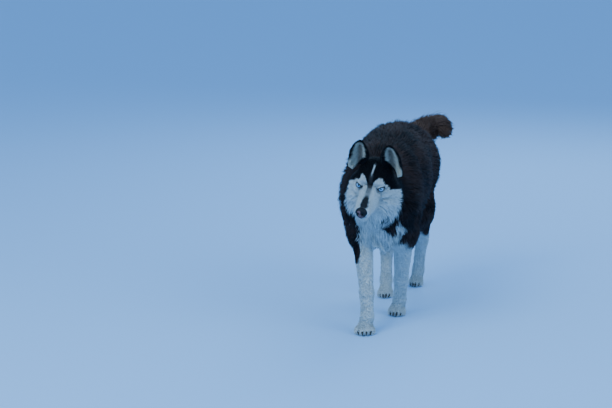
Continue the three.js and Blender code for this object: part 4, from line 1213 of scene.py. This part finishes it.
def nose_piece():
    """The nose pad: a pinched ball with nostrils, side slits and the groove between them."""
    rows, sides = 60, 84
    polar = np.linspace(0, math.pi, rows + 1)[1:-1]
    turn = np.linspace(0, 2 * math.pi, sides, endpoint=False)
    a, t = np.meshgrid(polar, turn, indexing="ij")
    # The pole looks ahead, along -y
    d = np.stack([np.sin(a) * np.cos(t), -np.cos(a), np.sin(a) * np.sin(t)], -1).reshape(-1, 3)
    d = np.vstack([d, [[0, -1, 0], [0, 1, 0]]])
    pinch = 1 - 0.28 * np.maximum(0, -d[:, 2])
    r = np.array(NOSE["radii"])
    q = d * r * np.stack([pinch, np.where(d[:, 1] < 0, 0.85, 1.0), np.ones(len(d))], 1)
    q[:, 1] -= 1.2 * np.exp(-(q[:, 0] / 9) ** 2) * (d[:, 1] < 0)
    carve = np.zeros(len(q))
    for s in (-1, 1):
        hole = (((q[:, [0, 2]] - [7.6 * s, 3.4]) / [3.7, 3.2]) ** 2).sum(1)
        carve += 5.5 * np.exp(-hole ** 1.5) * (d[:, 1] < -0.1)
        for k in np.linspace(0, 1, 7):
            slit = (((q[:, [0, 2]] - [(10 + 6 * k) * s, 2 - 6.5 * k]) / [2.2, 1.5]) ** 2).sum(1)
            carve = np.maximum(carve, 3.0 * (1 - 0.4 * k) * np.exp(-slit) * (d[:, 1] < 0.1))
    # The groove down the middle
    carve += 1.5 * np.exp(-(q[:, 0] / 1.1) ** 2) * (q[:, 2] < 5) * (d[:, 1] < 0)
    q = q - d * carve[:, None]
    pebble = noise(q + 400, 1.5, 21) * 0.16 * (carve < 1)
    q = q + d * pebble[:, None]
    points = on_head(q + NOSE["at"])
    ragged = 1 + 0.3 * noise(q + 200, 3.2, 22) + 0.2 * noise(q + 200, 1.6, 23)
    pink = np.zeros(len(q))
    for x, z, wide, high in PINK_BLOTS:
        blot = np.hypot((q[:, 0] - x) / wide, (q[:, 2] - z) / high)
        pink = np.maximum(pink, 1 - step(blot * ragged, 1, 0.35))
    pink *= (d[:, 1] < -0.2) * step(-carve, -2.6, 1)
    colour = blend(plain(NOSE_BLACK, len(points)), NOSE_PINK, 0.72 * pink)
    # Painted shade: the nostrils, side slits and groove are darker the deeper they are carved
    colour = blend(colour, NOSTRIL_SHADE, np.clip(carve / 4, 0, 1))
    obj = make_mesh("nose_pad", points, list(closed_faces(rows - 1, sides)), None, colour)
    material, tree, shader = coat_coloured("nose_leather", 0.48)
    where = add(tree, "ShaderNodeTexCoord")
    cells = add(tree, "ShaderNodeTexVoronoi", {"Vector": where.outputs["Object"], "Scale": 900.0})
    relief = add(tree, "ShaderNodeBump", {"Height": cells.outputs["Distance"], "Strength": 0.35,
                                         "Distance": 0.0005})
    tree.links.new(relief.outputs["Normal"], shader.inputs["Normal"])
    finish_piece(obj, material, ["nose"])


nose_piece()

# Tubes: lips and claws


def tube(line, radii, sides=12):
    """A closed round tube along a line, with pointed ends: its points, quads and end fans."""
    line = np.asarray(line, float)
    ahead = unit(np.gradient(line, axis=0))
    across = unit(np.cross([0.3, 0.2, 1.0], ahead))
    up = np.cross(ahead, across)
    turn = np.linspace(0, 2 * math.pi, sides, endpoint=False)
    ring = np.cos(turn)[None, :, None] * across[:, None] + np.sin(turn)[None, :, None] * up[:, None]
    points = (line[:, None] + ring * np.asarray(radii)[:, None, None]).reshape(-1, 3)
    points = np.vstack([points, line[0] - ahead[0] * radii[0] * 0.3, line[-1] + ahead[-1] * radii[-1] * 0.6])
    return points, *closed_faces(len(line), sides)


def joined_tubes(tubes):
    points, quads, caps, offset = [], [], [], 0
    for p, q, c in tubes:
        points.append(p)
        quads.append(q + offset)
        caps.append(c + offset)
        offset += len(p)
    return np.concatenate(points), [np.concatenate(quads), np.concatenate(caps)]


def smooth_line(points, count):
    points = np.asarray(points, float)
    return curve(points, np.linspace(0, len(points) - 1, count))


# Lips: dark edges along the line of the mouth
MOUTH_HALF = [[0, -97, -62], [9, -93, -62], [17, -80, -59.5], [24, -60, -55], [29, -42, -52], [33, -29, -48]]
half = smooth_line(MOUTH_HALF, 26)
mouth = np.vstack([half[::-1] * [-1, 1, 1], half[1:]])
mouth = on_head(mouth)
mouth = HEAD_GRID.lifted(mouth, np.full(len(mouth), 0.7))
swell = np.interp(np.linspace(-1, 1, len(mouth)), [-1, -0.8, 0, 0.8, 1], [0.6, 1.5, 1.9, 1.5, 0.6])
points, faces = joined_tubes([tube(mouth, swell)])
DARK_LIP, PALE_LIP = (0.008, 0.007, 0.008, 1), (0.03, 0.024, 0.024, 1)
lip_skin = grained("lip_skin", 700.0, 2.0, (0.0, DARK_LIP), (1.0, PALE_LIP), 0.45)
finish_piece(make_mesh("lips", points, faces), lip_skin)

# Claws: one curved horn to a toe
claw_tubes, claw_names = [], []
for name, leg in LEGS.items():
    for number, (at, pitch, turn) in enumerate(toes(leg)):
        forward = np.array([math.sin(turn), -math.cos(turn)])
        path = [[10, 16], [19, 12.5], [25, 8.5], [28.2, 4.6]]
        line = [[at[0] + forward[0] * s, at[1] + forward[1] * s, z] for s, z in path]
        line = smooth_line(line, 12)
        radii = np.interp(np.linspace(0, 1, 12), [0, 0.4, 0.75, 1], [3.9, 3.4, 2.3, 0.8])
        claw_tubes.append(tube(line, radii, 10))
        claw_names.append(f"claw_{name}_{number + 1}")
points, faces = joined_tubes(claw_tubes)
DARK_HORN, PALE_HORN = (0.012, 0.009, 0.008, 1), (0.075, 0.05, 0.038, 1)
horn = grained("claw_horn", 260.0, 3.0, (0.35, DARK_HORN), (0.75, PALE_HORN), 0.4)
finish_piece(make_mesh("claws", points, faces), horn, claw_names)

# Floor, light and camera

mesh = bpy.data.meshes.new("floor")
corners = ((-1, -1), (1, -1), (1, 1), (-1, 1))
mesh.from_pydata([(40.0 * x, 40.0 * y, 0) for x, y in corners], [], [(0, 1, 2, 3)])
floor = bpy.data.objects.new("floor", mesh)
bpy.context.scene.collection.objects.link(floor)
material, tree, shader = nodes_of("floor_pale")
shader.inputs["Base Color"].default_value = (0.42, 0.66, 0.96, 1)
shader.inputs["Roughness"].default_value = 0.9
mesh.materials.append(material)

world = bpy.data.worlds.new("studio")
world.use_nodes = True
world.node_tree.nodes["Background"].inputs["Color"].default_value = (0.22, 0.52, 1.0, 1)
world.node_tree.nodes["Background"].inputs["Strength"].default_value = 1.0
bpy.context.scene.world = world


def softbox(name, at, size, power, colour):
    data = bpy.data.lights.new(name, "AREA")
    data.shape = "SQUARE"
    data.size = size
    data.energy = power
    data.color = colour
    lamp = bpy.data.objects.new(name, data)
    lamp.location = at
    lamp.rotation_euler = (Vector((0, 0, 0.35)) - Vector(at)).to_track_quat("-Z", "Y").to_euler()
    bpy.context.scene.collection.objects.link(lamp)


softbox("key", (-1.8, -3.2, 3.6), 2.4, 120, (0.60, 0.83, 1.0))
softbox("fill", (3.0, -1.6, 2.4), 2.6, 54, (0.52, 0.77, 1.0))
softbox("back", (0.6, 3.4, 3.0), 2.4, 64, (0.52, 0.77, 1.0))

# The camera fitted to the photo: pixels, millimetres and degrees
PHOTO_WIDTH, FOCAL_LENGTH = 612, 1860
CAMERA_AT, CAMERA_DOWN, CAMERA_TURN = [863, -6165, 1512], 10.5, 10.6
data = bpy.data.cameras.new("camera")
data.sensor_width = 36.0
data.lens = FOCAL_LENGTH / PHOTO_WIDTH * 36.0
data.clip_end = 200.0
camera = bpy.data.objects.new("camera", data)
camera.location = to_row(CAMERA_AT)
camera.rotation_euler = (math.radians(90 - CAMERA_DOWN), 0, math.radians(CAMERA_TURN))
bpy.context.scene.collection.objects.link(camera)
bpy.context.scene.camera = camera

print("coat triangles", triangle_count, "in all", sum(triangle_count.values()))
